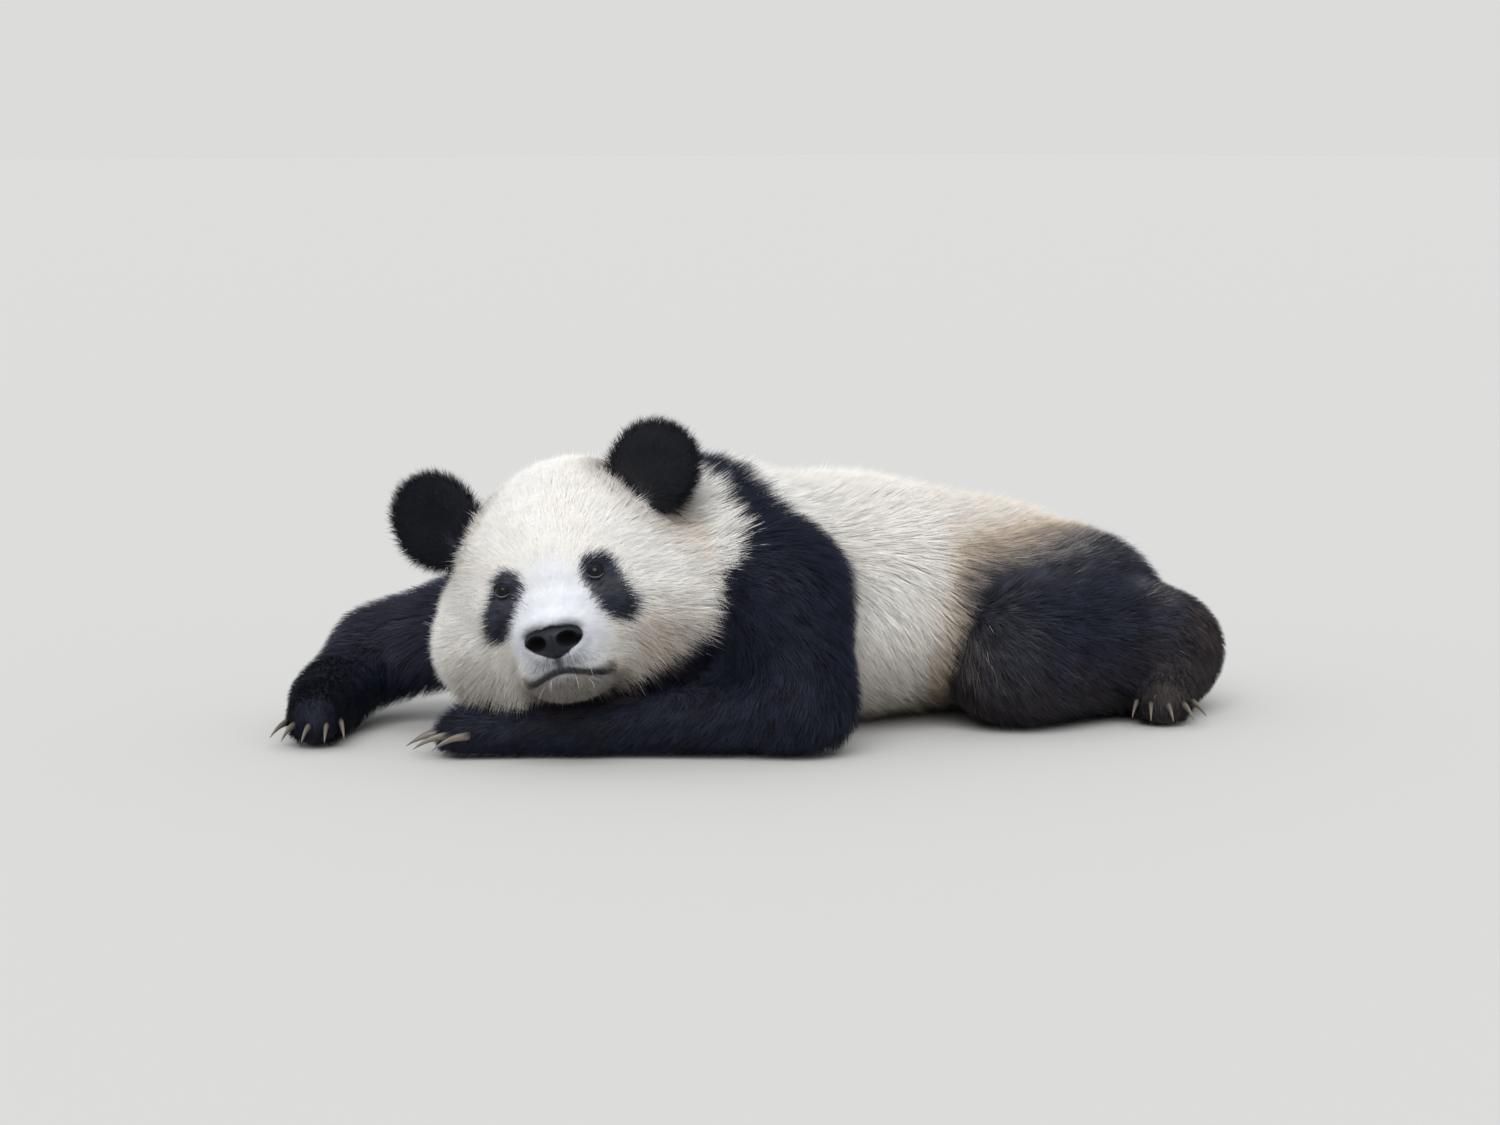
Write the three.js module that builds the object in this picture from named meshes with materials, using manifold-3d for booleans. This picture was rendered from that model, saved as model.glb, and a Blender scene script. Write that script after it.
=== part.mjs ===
// A life-size giant panda lying on its belly, chin on its folded left foreleg, head turned to its left.
// Millimetres, +Z up, the floor at z = 0. The trunk runs along +Y: the animal faces -Y, its left is +X.
// The solids reach out to the tips of the coat. The body is one blended form, parted by thin cuts.
import * as THREE from "three";
import { mergeVertices } from "three/addons/utils/BufferGeometryUtils.js";
import Module from "manifold-3d";

const wasm = await Module();
wasm.setup();

const sides = { left: 1, right: -1 };
const cutGap = 1; // between neighbouring nodes
const at = (x, y, z) => new THREE.Vector3(x, y, z);
const degrees = THREE.MathUtils.degToRad;

// ---------------------------------------- driving dimensions
const headHeight = 200; // of the middle of the head above the floor
const headTurn = 41; // degrees towards the animal's left
const headLift = 6; // nose up
const headTilt = 12.5; // crown towards the animal's right

const earThickness = 25;
const earSizes = {
  left: { out: 140, up: 136, width: 62, height: 66 },
  right: { out: 148, up: 125, width: 63, height: 73 },
};

const eyeOut = 58;
const eyeUp = 21;
const eyeRadius = 12;
const eyeSunk = 6; // of the eye's centre below the face

const noseForward = 163;
const noseUp = -50;

const clawLength = 40;
const clawRadius = 6;
const clawHeight = 25;
const clawsPerPaw = 5;
const clawSpread = 34; // of the outer claws from the paw's middle line

// ---------------------------------------- distance functions
const offset = new THREE.Vector3();

// A stretch of limb whose radius runs from ra at a to rb at b
function limb(a, b, ra, rb) {
  const along = b.clone().sub(a);
  const squared = along.lengthSq();
  return (p) => {
    offset.copy(p).sub(a);
    const t = THREE.MathUtils.clamp(offset.dot(along) / squared, 0, 1);
    return offset.addScaledVector(along, -t).length() - THREE.MathUtils.lerp(ra, rb, t);
  };
}

// An ellipsoid, turned by a quaternion where it is given one
function egg(centre, radii, turn) {
  const back = turn ? turn.clone().invert() : null;
  return (p) => {
    offset.copy(p).sub(centre);
    if (back) offset.applyQuaternion(back);
    const near = offset.divide(radii).length();
    const slope = offset.divide(radii).length();
    return slope > 1e-9 ? (near * (near - 1)) / slope : -Math.min(radii.x, radii.y, radii.z);
  };
}

function blend(a, b, softness) {
  const h = Math.max(softness - Math.abs(a - b), 0);
  return Math.min(a, b) - (h * h) / (4 * softness);
}

const blended = (forms, softness) => (p) => forms.reduce((d, form) => blend(d, form(p), softness), 1e6);
const nearest = (forms) => (p) => forms.reduce((d, form) => Math.min(d, form(p)), 1e6);
const confined = (form) => (p) => form(p) * (form(p) > 0 ? 2 : 1); // claims only what is close to it

// ---------------------------------------- head, in its own frame: -Y forward, +X left
const headTurning = new THREE.Quaternion().setFromEuler(
  new THREE.Euler(degrees(-headLift), degrees(-headTilt), degrees(headTurn), "ZXY"),
);
const headMiddle = at(0, 0, headHeight);
const onHead = (x, y, z) => at(x, y, z).applyQuaternion(headTurning).add(headMiddle);
const headEgg = (centre, radii, turn) =>
  egg(onHead(...centre), at(...radii), turn ? headTurning.clone().multiply(turn) : headTurning);

const skull = [
  headEgg([0, 14, 36], [143, 146, 144]),
  headEgg([0, -55, 30], [92, 70, 74]), // forehead
];
const cheeks = Object.values(sides).map((s) => headEgg([s * 86, 8, -42], [106, 110, 94]));
const muzzle = headEgg([0, -112, -44], [58, 70, 47]);
const jaw = headEgg([0, -82, -92], [66, 76, 42]);
const crownDip = onHead(-62, -6, 158); // the coat lies flatter before the right ear
const headForm = (p) => {
  let d = blended([...skull, ...cheeks], 45)(p) + 18 * Math.exp(-p.distanceToSquared(crownDip) / 80 ** 2);
  d = blend(d, jaw(p), 28);
  return blend(d, muzzle(p), 30);
};

const ears = {};
for (const [name, s] of Object.entries(sides)) {
  const turn = new THREE.Quaternion().setFromEuler(
    new THREE.Euler(degrees(-8), degrees(s * 34), degrees(s * 14), "ZXY"),
  );
  const ear = earSizes[name];
  ears[name] = headEgg([s * ear.out, -6, ear.up], [ear.width, earThickness, ear.height], turn);
}

// ---------------------------------------- torso
const trunkForms = [
  egg(at(0, 250, 165), at(188, 190, 176)), // chest
  egg(at(0, 230, 215), at(118, 120, 110)), // withers
  egg(at(0, 450, 163), at(224, 230, 170)), // ribs
  egg(at(0, 670, 136), at(208, 220, 152)), // loin
  egg(at(0, 820, 104), at(186, 165, 124)), // rump
];
const neckForm = limb(at(0, 190, 205), onHead(12, 45, 5), 160, 148);
const tailEnds = [at(0, 985, 120), at(0, 1035, 62)];
const tailForm = limb(...tailEnds, 34, 38);

// ---------------------------------------- legs: a chain of joints, each with its radius
const chains = {
  foreleg_left: {
    segments: ["upper_arm_left", "forearm_left", "forepaw_left"],
    joints: [at(150, 205, 190), at(208, 205, 70), at(32, -5, 40), at(-58, -128, 34)],
    radii: [112, 76, 46, 40],
    claws: at(-0.55, -0.83, -0.05),
  },
  foreleg_right: {
    segments: ["upper_arm_right", "forearm_right", "forepaw_right"],
    joints: [at(-170, 180, 170), at(-390, -18, 86), at(-322, -150, 44), at(-248, -222, 34)],
    radii: [104, 68, 48, 40],
    claws: at(0.66, -0.75, -0.05),
  },
};
for (const [name, s] of Object.entries(sides)) {
  chains["hind_leg_" + name] = {
    segments: ["thigh_" + name, "shank_" + name, "hind_foot_" + name],
    joints: [at(s * 118, 815, 112), at(s * 236, 570, 98), at(s * 258, 828, 80), at(s * 350, 728, 32)],
    radii: [122, 102, 80, 42],
    claws: at(s * 0.8, -0.6, -0.05),
  };
}

const legForms = {};
const legOwners = {};
for (const chain of Object.values(chains)) {
  chain.segments.forEach((name, i) => {
    const [a, b] = [chain.joints[i], chain.joints[i + 1]];
    const [ra, rb] = [chain.radii[i], chain.radii[i + 1]];
    legForms[name] = limb(a, b, ra, rb);
    const radiusAt = (t) => THREE.MathUtils.lerp(ra, rb, t);
    const [top, end] = [0.25, 0.8]; // the stretch that lays claim to the flesh round it
    legOwners[name] = limb(a.clone().lerp(b, top), a.clone().lerp(b, end), radiusAt(top), radiusAt(end));
  });
  chain.form = blended(chain.segments.map((name) => legForms[name]), 26);
  chain.root = chain.joints[0];
}

// The whole outline: a leg melts into the trunk round its first joint, and only touches it elsewhere
const meltReach = 230;
const torso = (p) => {
  const d = blended(trunkForms, 70)(p);
  return blend(blend(d, neckForm(p), 60), tailForm(p), 24);
};
const body = (p) => {
  let d = torso(p);
  for (const chain of Object.values(chains)) {
    const reach = p.distanceTo(chain.root) / meltReach;
    d = blend(d, chain.form(p), THREE.MathUtils.lerp(90, 4, Math.min(reach, 1)));
  }
  return d;
};
const headAndNeck = (p) => {
  let d = blend(headForm(p), neckForm(p), 50);
  for (const ear of Object.values(ears)) d = blend(d, ear(p), 14);
  return d;
};
const flesh = (p) => Math.min(body(p), headAndNeck(p));

// ---------------------------------------- from a distance function to a closed solid
function solidOf(geometry, matrix) {
  const bare = geometry.clone();
  if (matrix) bare.applyMatrix4(matrix);
  bare.deleteAttribute("normal");
  bare.deleteAttribute("uv");
  const merged = mergeVertices(bare, 1e-3);
  return new wasm.Manifold(
    new wasm.Mesh({
      numProp: 3,
      vertProperties: merged.attributes.position.array,
      triVerts: new Uint32Array(merged.index.array),
    }),
  );
}

function geometryOf(solid) {
  const mesh = solid.getMesh();
  const places = new Float32Array(mesh.numVert * 3);
  for (let i = 0; i < mesh.numVert; i++) {
    places.set(mesh.vertProperties.subarray(i * mesh.numProp, i * mesh.numProp + 3), i * 3);
  }
  const geometry = new THREE.BufferGeometry();
  geometry.setAttribute("position", new THREE.BufferAttribute(places, 3));
  geometry.setIndex(new THREE.BufferAttribute(new Uint32Array(mesh.triVerts), 1));
  geometry.computeVertexNormals();
  return geometry;
}

const corners = [0, 1, 2, 3, 4, 5, 6, 7].map((i) => [i & 1, (i >> 1) & 1, (i >> 2) & 1]);
const apart = (a, b) => a.filter((value, k) => value !== b[k]).length;
const cellEdges = [];
corners.forEach((a, i) => {
  corners.forEach((b, j) => {
    if (i < j && apart(a, b) === 1) cellEdges.push([i, j]);
  });
});

// Surface nets: one vertex in each cell that the surface crosses, drawn onto the surface, and one quad
// across each grid edge that it crosses. The form has to lie inside the box.
function net(form, box, cell) {
  const count = ["x", "y", "z"].map((k) => Math.ceil((box.max[k] - box.min[k]) / cell) + 1);
  const [nx, ny, nz] = count;
  const index = (i, j, k) => i + nx * (j + ny * k);
  const point = (i, j, k) => at(box.min.x + i * cell, box.min.y + j * cell, box.min.z + k * cell);
  const value = new Float64Array(nx * ny * nz);
  for (let k = 0; k < nz; k++)
    for (let j = 0; j < ny; j++)
      for (let i = 0; i < nx; i++) {
        const rim = i === 0 || j === 0 || k === 0 || i === nx - 1 || j === ny - 1 || k === nz - 1;
        value[index(i, j, k)] = rim ? Math.max(form(point(i, j, k)), 1e-3) : form(point(i, j, k));
      }

  joinDiagonals(value, [index(1, 0, 0), index(0, 1, 0), index(0, 0, 1)], count);

  const places = [];
  const vertexOf = new Int32Array(value.length).fill(-1);
  for (let k = 0; k < nz - 1; k++)
    for (let j = 0; j < ny - 1; j++)
      for (let i = 0; i < nx - 1; i++) {
        const v = corners.map(([a, b, c]) => value[index(i + a, j + b, k + c)]);
        const middle = at(0, 0, 0);
        let crossings = 0;
        for (const [a, b] of cellEdges) {
          if (v[a] < 0 === v[b] < 0) continue;
          const t = v[a] / (v[a] - v[b]);
          middle.x += THREE.MathUtils.lerp(corners[a][0], corners[b][0], t);
          middle.y += THREE.MathUtils.lerp(corners[a][1], corners[b][1], t);
          middle.z += THREE.MathUtils.lerp(corners[a][2], corners[b][2], t);
          crossings++;
        }
        if (!crossings) continue;
        middle.divideScalar(crossings).multiplyScalar(cell).add(point(i, j, k));
        vertexOf[index(i, j, k)] = places.length / 3;
        places.push(...drawnOnto(form, middle, cell / 2).toArray());
      }

  const triangles = [];
  const steps = [index(1, 0, 0), index(0, 1, 0), index(0, 0, 1)];
  for (let k = 0; k < nz - 1; k++)
    for (let j = 0; j < ny - 1; j++)
      for (let i = 0; i < nx - 1; i++) {
        const here = index(i, j, k);
        steps.forEach((step, axis) => {
          const inside = value[here] < 0;
          if (inside === value[here + step] < 0) return;
          const [s, t] = [steps[(axis + 1) % 3], steps[(axis + 2) % 3]];
          const quad = [here, here - s, here - s - t, here - t].map((cellIndex) => vertexOf[cellIndex]);
          const [a, b, c, d] = inside ? quad : quad.reverse();
          triangles.push(a, b, c, a, c, d);
        });
      }

  const geometry = new THREE.BufferGeometry();
  geometry.setAttribute("position", new THREE.Float32BufferAttribute(places, 3));
  geometry.setIndex(triangles);
  return geometry;
}

// The same net with each vertex moved out by a given distance, so that the two never cross
function swollen(geometry, by) {
  const grown = geometry.clone();
  grown.computeVertexNormals();
  const { position, normal } = grown.attributes;
  const [p, out] = [at(0, 0, 0), at(0, 0, 0)];
  for (let i = 0; i < position.count; i++) {
    p.fromBufferAttribute(position, i).addScaledVector(out.fromBufferAttribute(normal, i), by);
    position.setXYZ(i, p.x, p.y, p.z);
  }
  return grown;
}

// Fills grid points until no two parts of the form meet along a cell's diagonal alone, which pinches a net
function joinDiagonals(value, [dx, dy, dz], [nx, ny, nz]) {
  const squares = [[dx, dy], [dy, dz], [dz, dx]];
  const longDiagonals = [[0, dx + dy + dz], [dx, dy + dz], [dy, dx + dz], [dz, dx + dy]];
  const isInside = (i) => value[i] < 0;
  let changed = true;
  const fill = (i) => {
    value[i] = -1e-3;
    changed = true;
  };
  while (changed) {
    changed = false;
    for (let k = 0; k < nz - 1; k++)
      for (let j = 0; j < ny - 1; j++)
        for (let i = 0; i < nx - 1; i++) {
          const here = i + nx * (j + ny * k);
          for (const [s, t] of squares) {
            const [a, b] = [isInside(here), isInside(here + s)];
            const crossed = a !== b && a === isInside(here + s + t) && b === isInside(here + t);
            if (crossed) fill(a ? here + s : here);
          }
          const filled = corners.filter(([a, b, c]) => isInside(here + a * dx + b * dy + c * dz)).length;
          for (const [s, t] of longDiagonals) {
            const bothInside = isInside(here + s) && isInside(here + t);
            const bothOutside = !isInside(here + s) && !isInside(here + t);
            if (filled === 2 && bothInside) fill(s === 0 ? here + dx : here);
            if (filled === 6 && bothOutside) fill(here + s);
          }
        }
  }
}

const slopeOf = (form, { x, y, z }) =>
  at(form(at(x + 1, y, z)), form(at(x, y + 1, z)), form(at(x, y, z + 1))).subScalar(form(at(x, y, z)));

// Moves a point along the form's slope until it lies on the surface, by no more than a given reach
function drawnOnto(form, start, reach) {
  const p = start.clone();
  for (let round = 0; round < 3; round++) {
    const slope = slopeOf(form, p);
    if (slope.lengthSq() < 1e-6) return start;
    p.addScaledVector(slope, -form(p) / slope.lengthSq());
  }
  return p.distanceTo(start) < reach ? p : start;
}

const boxAround = (points, margin) => new THREE.Box3().setFromPoints(points).expandByScalar(margin);

// ---------------------------------------- hard parts: eyes, nose and claws
const hard = {};
const hardGrown = [];
function addHard(name, make, colour, roughness) {
  hard[name] = { solid: make(0), colour, roughness };
  hardGrown.push(make(cutGap));
}

// Walks from a start towards the form until it is met, then on by a depth
function metFrom(start, direction, form, depth) {
  const p = start.clone();
  while (form(p) > 0.1) p.addScaledVector(direction, Math.max(form(p) * 0.5, 0.05));
  return p.addScaledVector(direction, depth);
}

const headBack = at(0, 1, 0).applyQuaternion(headTurning);
for (const [name, s] of Object.entries(sides)) {
  const spot = metFrom(onHead(s * eyeOut, -250, eyeUp), headBack, headForm, eyeSunk);
  const place = new THREE.Matrix4().setPosition(spot);
  const ball = (grow) => solidOf(new THREE.IcosahedronGeometry(eyeRadius + grow, 1), place);
  addHard("eye_" + name, ball, 0x0d0a08, 0.1);
}

const nosePad = headEgg([0, -noseForward, noseUp], [31, 17, 19]);
const noseFoot = headEgg([0, -noseForward + 3, noseUp - 13], [17, 14, 15]);
const noseForm = blended([nosePad, noseFoot], 10);
const noseBox = boxAround([onHead(0, -noseForward, noseUp)], 52);
const noseNet = net(noseForm, noseBox, 11);
addHard("nose", (grow) => solidOf(swollen(noseNet, grow)), 0x17171a, 0.45);

// A claw is a cone bent downwards, side to side narrower than deep
function clawGeometry(length, radius) {
  const geometry = new THREE.ConeGeometry(radius, length, 5, 2);
  const places = geometry.attributes.position;
  for (let i = 0; i < places.count; i++) {
    const along = places.getY(i) / length + 0.5; // 0 at the base, 1 at the tip
    places.setX(i, places.getX(i) * 0.7);
    places.setZ(i, places.getZ(i) - 0.32 * length * along * along);
  }
  return geometry;
}

for (const [chainName, chain] of Object.entries(chains)) {
  const toe = chain.joints[3];
  const paw = legForms[chain.segments[2]];
  const ahead = chain.claws.clone().normalize();
  const across = at(0, 0, 1).cross(ahead).normalize();
  for (let i = 0; i < clawsPerPaw; i++) {
    const fan = (i - (clawsPerPaw - 1) / 2) / ((clawsPerPaw - 1) / 2); // -1 to 1 over the paw
    const out = ahead.clone().addScaledVector(across, -0.35 * fan).normalize();
    const wellAhead = toe.clone().addScaledVector(across, -fan * clawSpread).addScaledVector(out, 140);
    wellAhead.z = clawHeight;
    const spot = metFrom(wellAhead, out.clone().negate(), paw, 0);
    const aside = out.clone().cross(at(0, 0, 1)).normalize();
    const basis = new THREE.Matrix4().makeBasis(aside, out, at(0, 0, 1));
    basis.setPosition(spot.addScaledVector(out, clawLength * 0.3));
    addHard(
      "claw_" + chainName + "_" + (i + 1),
      (grow) => solidOf(clawGeometry(clawLength + 2 * grow, clawRadius + grow), basis),
      0x8f8676,
      0.4,
    );
  }
}

// ---------------------------------------- flesh nodes, in the order in which they are cut
const white = 0xd8cdb8;
const black = 0x17161a;
const nodes = [];
function addFlesh(name, colour, [cell, cutCell], owner, box) {
  nodes.push({ name, colour, cell, cutCell, owner, box });
}

for (const [name, s] of Object.entries(sides)) {
  const box = boxAround([onHead(s * earSizes[name].out, -6, earSizes[name].up)], 100);
  addFlesh("ear_" + name, black, [26, 30], confined(ears[name]), box);
}
addFlesh("head", white, [31, 52], headForm, boxAround([headMiddle], 245));
for (const chain of Object.values(chains)) {
  chain.segments.forEach((name, i) => {
    const margin = Math.max(chain.radii[i], chain.radii[i + 1]) + 60;
    const box = boxAround([chain.joints[i], chain.joints[i + 1]], margin);
    addFlesh(name, black, [[62, 76], [52, 68], [47, 62]][i], legOwners[name], box);
  });
}
addFlesh("tail", white, [38, 54], tailForm, boxAround(tailEnds, 90));
const neckOwner = limb(at(0, 150, 205), onHead(0, 90, 5), 120, 120);
addFlesh("neck", white, [62, 90], neckOwner, boxAround([at(0, 100, 190)], 290));
const trunkBox = new THREE.Box3(at(-330, -60, -90), at(330, 1120, 420));
addFlesh("trunk", white, [72, 72], nearest(trunkForms), trunkBox);

const floor = solidOf(new THREE.BoxGeometry(3000, 3000, 400), new THREE.Matrix4().setPosition(0, 400, -200));
const largestOf = (solid) => solid.decompose().sort((a, b) => b.volume() - a.volume())[0];

const panda = new THREE.Group();
panda.name = "giant_panda";
function addMesh(name, solid, colour, roughness) {
  const material = new THREE.MeshStandardMaterial({ color: colour, roughness, metalness: 0 });
  const mesh = new THREE.Mesh(geometryOf(solid), material);
  mesh.name = name;
  panda.add(mesh);
}

// A node is cut along its share's edge towards the nodes after it, and by the shares of those before it
const taken = [...hardGrown];
nodes.forEach((node, i) => {
  let solid = solidOf(net(flesh, node.box, node.cell)).subtract(floor);
  const later = nodes.slice(i + 1).map((other) => other.owner);
  const share = (p) => (node.owner(p) - nearest(later)(p)) / 2;
  const shareNet = later.length ? net(share, node.box.clone().expandByScalar(20), node.cutCell) : null;
  if (shareNet) solid = solid.intersect(solidOf(shareNet));
  for (const other of taken) solid = solid.subtract(other);
  if (shareNet) taken.push(solidOf(shareNet).add(solidOf(swollen(shareNet, cutGap))));
  addMesh(node.name, largestOf(solid), node.colour, 0.9);
});
for (const [name, { solid, colour, roughness }] of Object.entries(hard)) {
  addMesh(name, solid, colour, roughness);
}

// The origin is the bottom centre of the whole animal
const extent = new THREE.Box3().setFromObject(panda, true);
const middle = extent.getCenter(at(0, 0, 0));
panda.children.forEach((mesh) => mesh.geometry.translate(-middle.x, -middle.y, -extent.min.z));

export default panda;
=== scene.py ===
import math
import bmesh
import bpy
import numpy as np
from mathutils import Matrix, Vector
from mathutils.bvhtree import BVHTree
from mathutils.kdtree import KDTree


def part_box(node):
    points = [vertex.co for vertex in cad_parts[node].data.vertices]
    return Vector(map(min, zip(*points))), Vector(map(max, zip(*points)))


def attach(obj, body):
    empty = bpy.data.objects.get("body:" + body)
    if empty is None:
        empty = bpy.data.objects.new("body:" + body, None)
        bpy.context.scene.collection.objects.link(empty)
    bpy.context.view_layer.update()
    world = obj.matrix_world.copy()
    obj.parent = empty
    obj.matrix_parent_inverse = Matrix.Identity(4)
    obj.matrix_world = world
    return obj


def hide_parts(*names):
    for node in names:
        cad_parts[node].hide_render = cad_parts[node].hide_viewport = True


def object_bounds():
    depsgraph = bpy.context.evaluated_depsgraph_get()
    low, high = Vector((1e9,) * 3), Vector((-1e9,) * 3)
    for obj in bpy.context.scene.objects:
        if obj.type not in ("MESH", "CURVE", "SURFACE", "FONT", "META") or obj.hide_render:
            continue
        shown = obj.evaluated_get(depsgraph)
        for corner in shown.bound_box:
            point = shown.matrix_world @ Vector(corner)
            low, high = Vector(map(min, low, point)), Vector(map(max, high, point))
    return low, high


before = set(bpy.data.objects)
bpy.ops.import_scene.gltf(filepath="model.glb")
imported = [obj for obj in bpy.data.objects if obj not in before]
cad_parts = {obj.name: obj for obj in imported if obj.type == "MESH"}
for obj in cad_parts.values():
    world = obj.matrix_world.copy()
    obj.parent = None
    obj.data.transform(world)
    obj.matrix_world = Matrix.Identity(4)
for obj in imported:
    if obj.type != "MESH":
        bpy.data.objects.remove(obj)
cadLow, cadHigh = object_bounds()
rng = np.random.default_rng(11)

# Camera, floor and light
viewSizes = {
    "fromNose": (3.4725, -2.7130, 0.6193),  # metres from the nose to the camera
    "azimuth": 48.867,
    "elevation": 6.759,
    "lens": 87.2,
    "sunFrom": (2.2, -2.1, 3.1),
    "sunSpread": 50,  # degrees across, which keeps the shadows soft
    "sunStrength": 2.35,
    "skyColour": (0.96, 0.98, 1, 1),
    "skyStrength": 0.81,
    "backdropColour": (0.715, 0.715, 0.70, 1),
    "floorColour": (0.54, 0.535, 0.52, 1),
    "floorReach": 90,
}


def aim(thing, place, target):
    thing.location = place
    thing.rotation_euler = (Vector(place) - Vector(target)).to_track_quat("Z", "Y").to_euler()


def makeView(sizes):
    low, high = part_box("nose")
    nose = (low + high) / 2
    camera = bpy.data.objects.new("camera", bpy.data.cameras.new("camera"))
    bpy.context.collection.objects.link(camera)
    camera.data.lens = sizes["lens"]
    camera.data.sensor_width = 36
    camera.data.clip_end = 200
    a, e = math.radians(sizes["azimuth"]), math.radians(sizes["elevation"])
    away = Vector((math.sin(a) * math.cos(e), -math.cos(a) * math.cos(e), math.sin(e)))
    place = nose + Vector(sizes["fromNose"])
    aim(camera, place, place - away)
    bpy.context.scene.camera = camera

    sun = bpy.data.objects.new("soft sun", bpy.data.lights.new("soft sun", "SUN"))
    sun.data.energy = sizes["sunStrength"]
    sun.data.angle = math.radians(sizes["sunSpread"])
    bpy.context.collection.objects.link(sun)
    aim(sun, sizes["sunFrom"], (0, 0, 0))

    scene = bpy.context.scene
    scene.view_settings.view_transform = "Standard"
    scene.world = bpy.data.worlds.new("sky")
    scene.world.use_nodes = True
    sky = NodeTree(scene.world.node_tree)
    seen = sky.wire(sky.add("ShaderNodeLightPath"), "Is Camera Ray")
    behind, light = (sky.wire(sky.add("ShaderNodeBackground", {}, {"Color": colour, "Strength": strength}))
                     for colour, strength in ((sizes["backdropColour"], 1.0),
                                              (sizes["skyColour"], sizes["skyStrength"])))
    mixed = sky.add("ShaderNodeMixShader", {}, {0: seen, 1: light, 2: behind})
    sky.add("ShaderNodeOutputWorld", {}, {"Surface": sky.wire(mixed)})

    reach = sizes["floorReach"]
    mesh = bpy.data.meshes.new("floor")
    mesh.from_pydata([(-reach, -reach, 0), (reach, -reach, 0), (reach, reach, 0), (-reach, reach, 0)], [],
                     [(0, 1, 2, 3)])
    floor = bpy.data.objects.new("floor", mesh)
    bpy.context.collection.objects.link(floor)
    tree, shader = newMaterial("pale floor", 0.85, 0.5)
    tree.feed(shader, {"Base Color": sizes["floorColour"]})
    mesh.materials.append(tree.owner)


# Shader maths: a wire is one socket, and sums on wires add the nodes
class Wire:
    def __init__(self, tree, socket):
        self.tree, self.socket = tree, socket

    def math(self, operation, *others):
        node = self.tree.add("ShaderNodeMath", {"operation": operation}, dict(enumerate((self, *others))))
        return self.tree.wire(node)

    def __add__(self, other):
        return self.math("ADD", other)

    def __sub__(self, other):
        return self.math("SUBTRACT", other)

    def __rsub__(self, other):
        return (self * -1.0) + other

    def __mul__(self, other):
        return self.math("MULTIPLY", other)

    def __pow__(self, other):
        return self.math("POWER", other)

    __radd__, __rmul__ = __add__, __mul__

    def clamped(self):
        return self.math("MAXIMUM", 0.0).math("MINIMUM", 1.0)


class NodeTree:
    def __init__(self, tree, owner=None):
        self.tree, self.owner = tree, owner
        tree.nodes.clear()

    def add(self, kind, settings={}, inputs={}):
        node = self.tree.nodes.new(kind)
        for name, value in settings.items():
            if name == "stops":
                for i, (place, colour) in enumerate(value):
                    stop = node.color_ramp.elements[i] if i < 2 else node.color_ramp.elements.new(place)
                    stop.position, stop.color = place, colour
            else:
                setattr(node, name, value)
        self.feed(node, inputs)
        return node

    def feed(self, node, inputs):
        for key, value in inputs.items():
            if isinstance(value, Wire):
                self.tree.links.new(value.socket, node.inputs[key])
            else:
                node.inputs[key].default_value = value

    def wire(self, node, output=0):
        return Wire(self, node.outputs[output])

    def mixed(self, amount, first, second):
        sockets = {0: amount, 6: first, 7: second}
        return self.wire(self.add("ShaderNodeMix", {"data_type": "RGBA"}, sockets), 2)

    def look(self):  # the four columns that setLook gives to a mesh
        look = self.add("ShaderNodeAttribute", {"attribute_name": "look"})
        parts = self.add("ShaderNodeSeparateColor", {}, {0: self.wire(look, "Color")})
        return [self.wire(parts, i) for i in range(3)] + [self.wire(look, "Alpha")]

    def pattern(self, kind, scale):
        place = self.wire(self.add("ShaderNodeTexCoord"), "Object")
        return self.wire(self.add(kind, {}, {"Vector": place, "Scale": scale}))

    def bump(self, height, strength, distance):
        sockets = {"Strength": strength, "Distance": distance, "Height": height}
        return self.wire(self.add("ShaderNodeBump", {}, sockets))


def newMaterial(name, roughness, specular):
    material = bpy.data.materials.new(name)
    material.use_nodes = True
    tree = NodeTree(material.node_tree, material)
    sockets = {"Roughness": roughness, "Specular IOR Level": specular}
    shader = tree.add("ShaderNodeBsdfPrincipled", {}, sockets)
    tree.add("ShaderNodeOutputMaterial", {}, {"Surface": tree.wire(shader)})
    return tree, shader


# Distance functions, in the design frame of the solids, in metres
def rotation(lift, tilt, turn):
    x, y, z = (Matrix.Rotation(math.radians(v), 3, k) for v, k in ((lift, "X"), (tilt, "Y"), (turn, "Z")))
    return np.array(z @ x @ y)


def limb(a, b, ra, rb):
    a, b = np.array(a, float), np.array(b, float)
    along = b - a

    def form(p):
        t = np.clip((p - a) @ along / (along @ along), 0, 1)
        return np.linalg.norm(p - a - t[:, None] * along, axis=1) - (ra + (rb - ra) * t)
    return form


def egg(centre, radii, turn=np.eye(3)):
    centre, radii = np.array(centre, float), np.array(radii, float)

    def form(p):
        o = ((p - centre) @ turn) / radii
        near = np.linalg.norm(o, axis=1)
        slope = np.linalg.norm(o / radii, axis=1)
        return near * (near - 1) / np.maximum(slope, 1e-9)
    return form


def smoothMin(a, b, softness):
    h = np.maximum(softness - np.abs(a - b), 0)
    return np.minimum(a, b) - h * h / (4 * softness)


def blended(forms, softness):
    def form(p):
        d = forms[0](p)
        for other in forms[1:]:
            d = smoothMin(d, other(p), softness)
        return d
    return form


def smoothStep(low, high, value):
    t = np.clip((value - low) / (high - low), 0, 1)
    return t * t * (3 - 2 * t)


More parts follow.
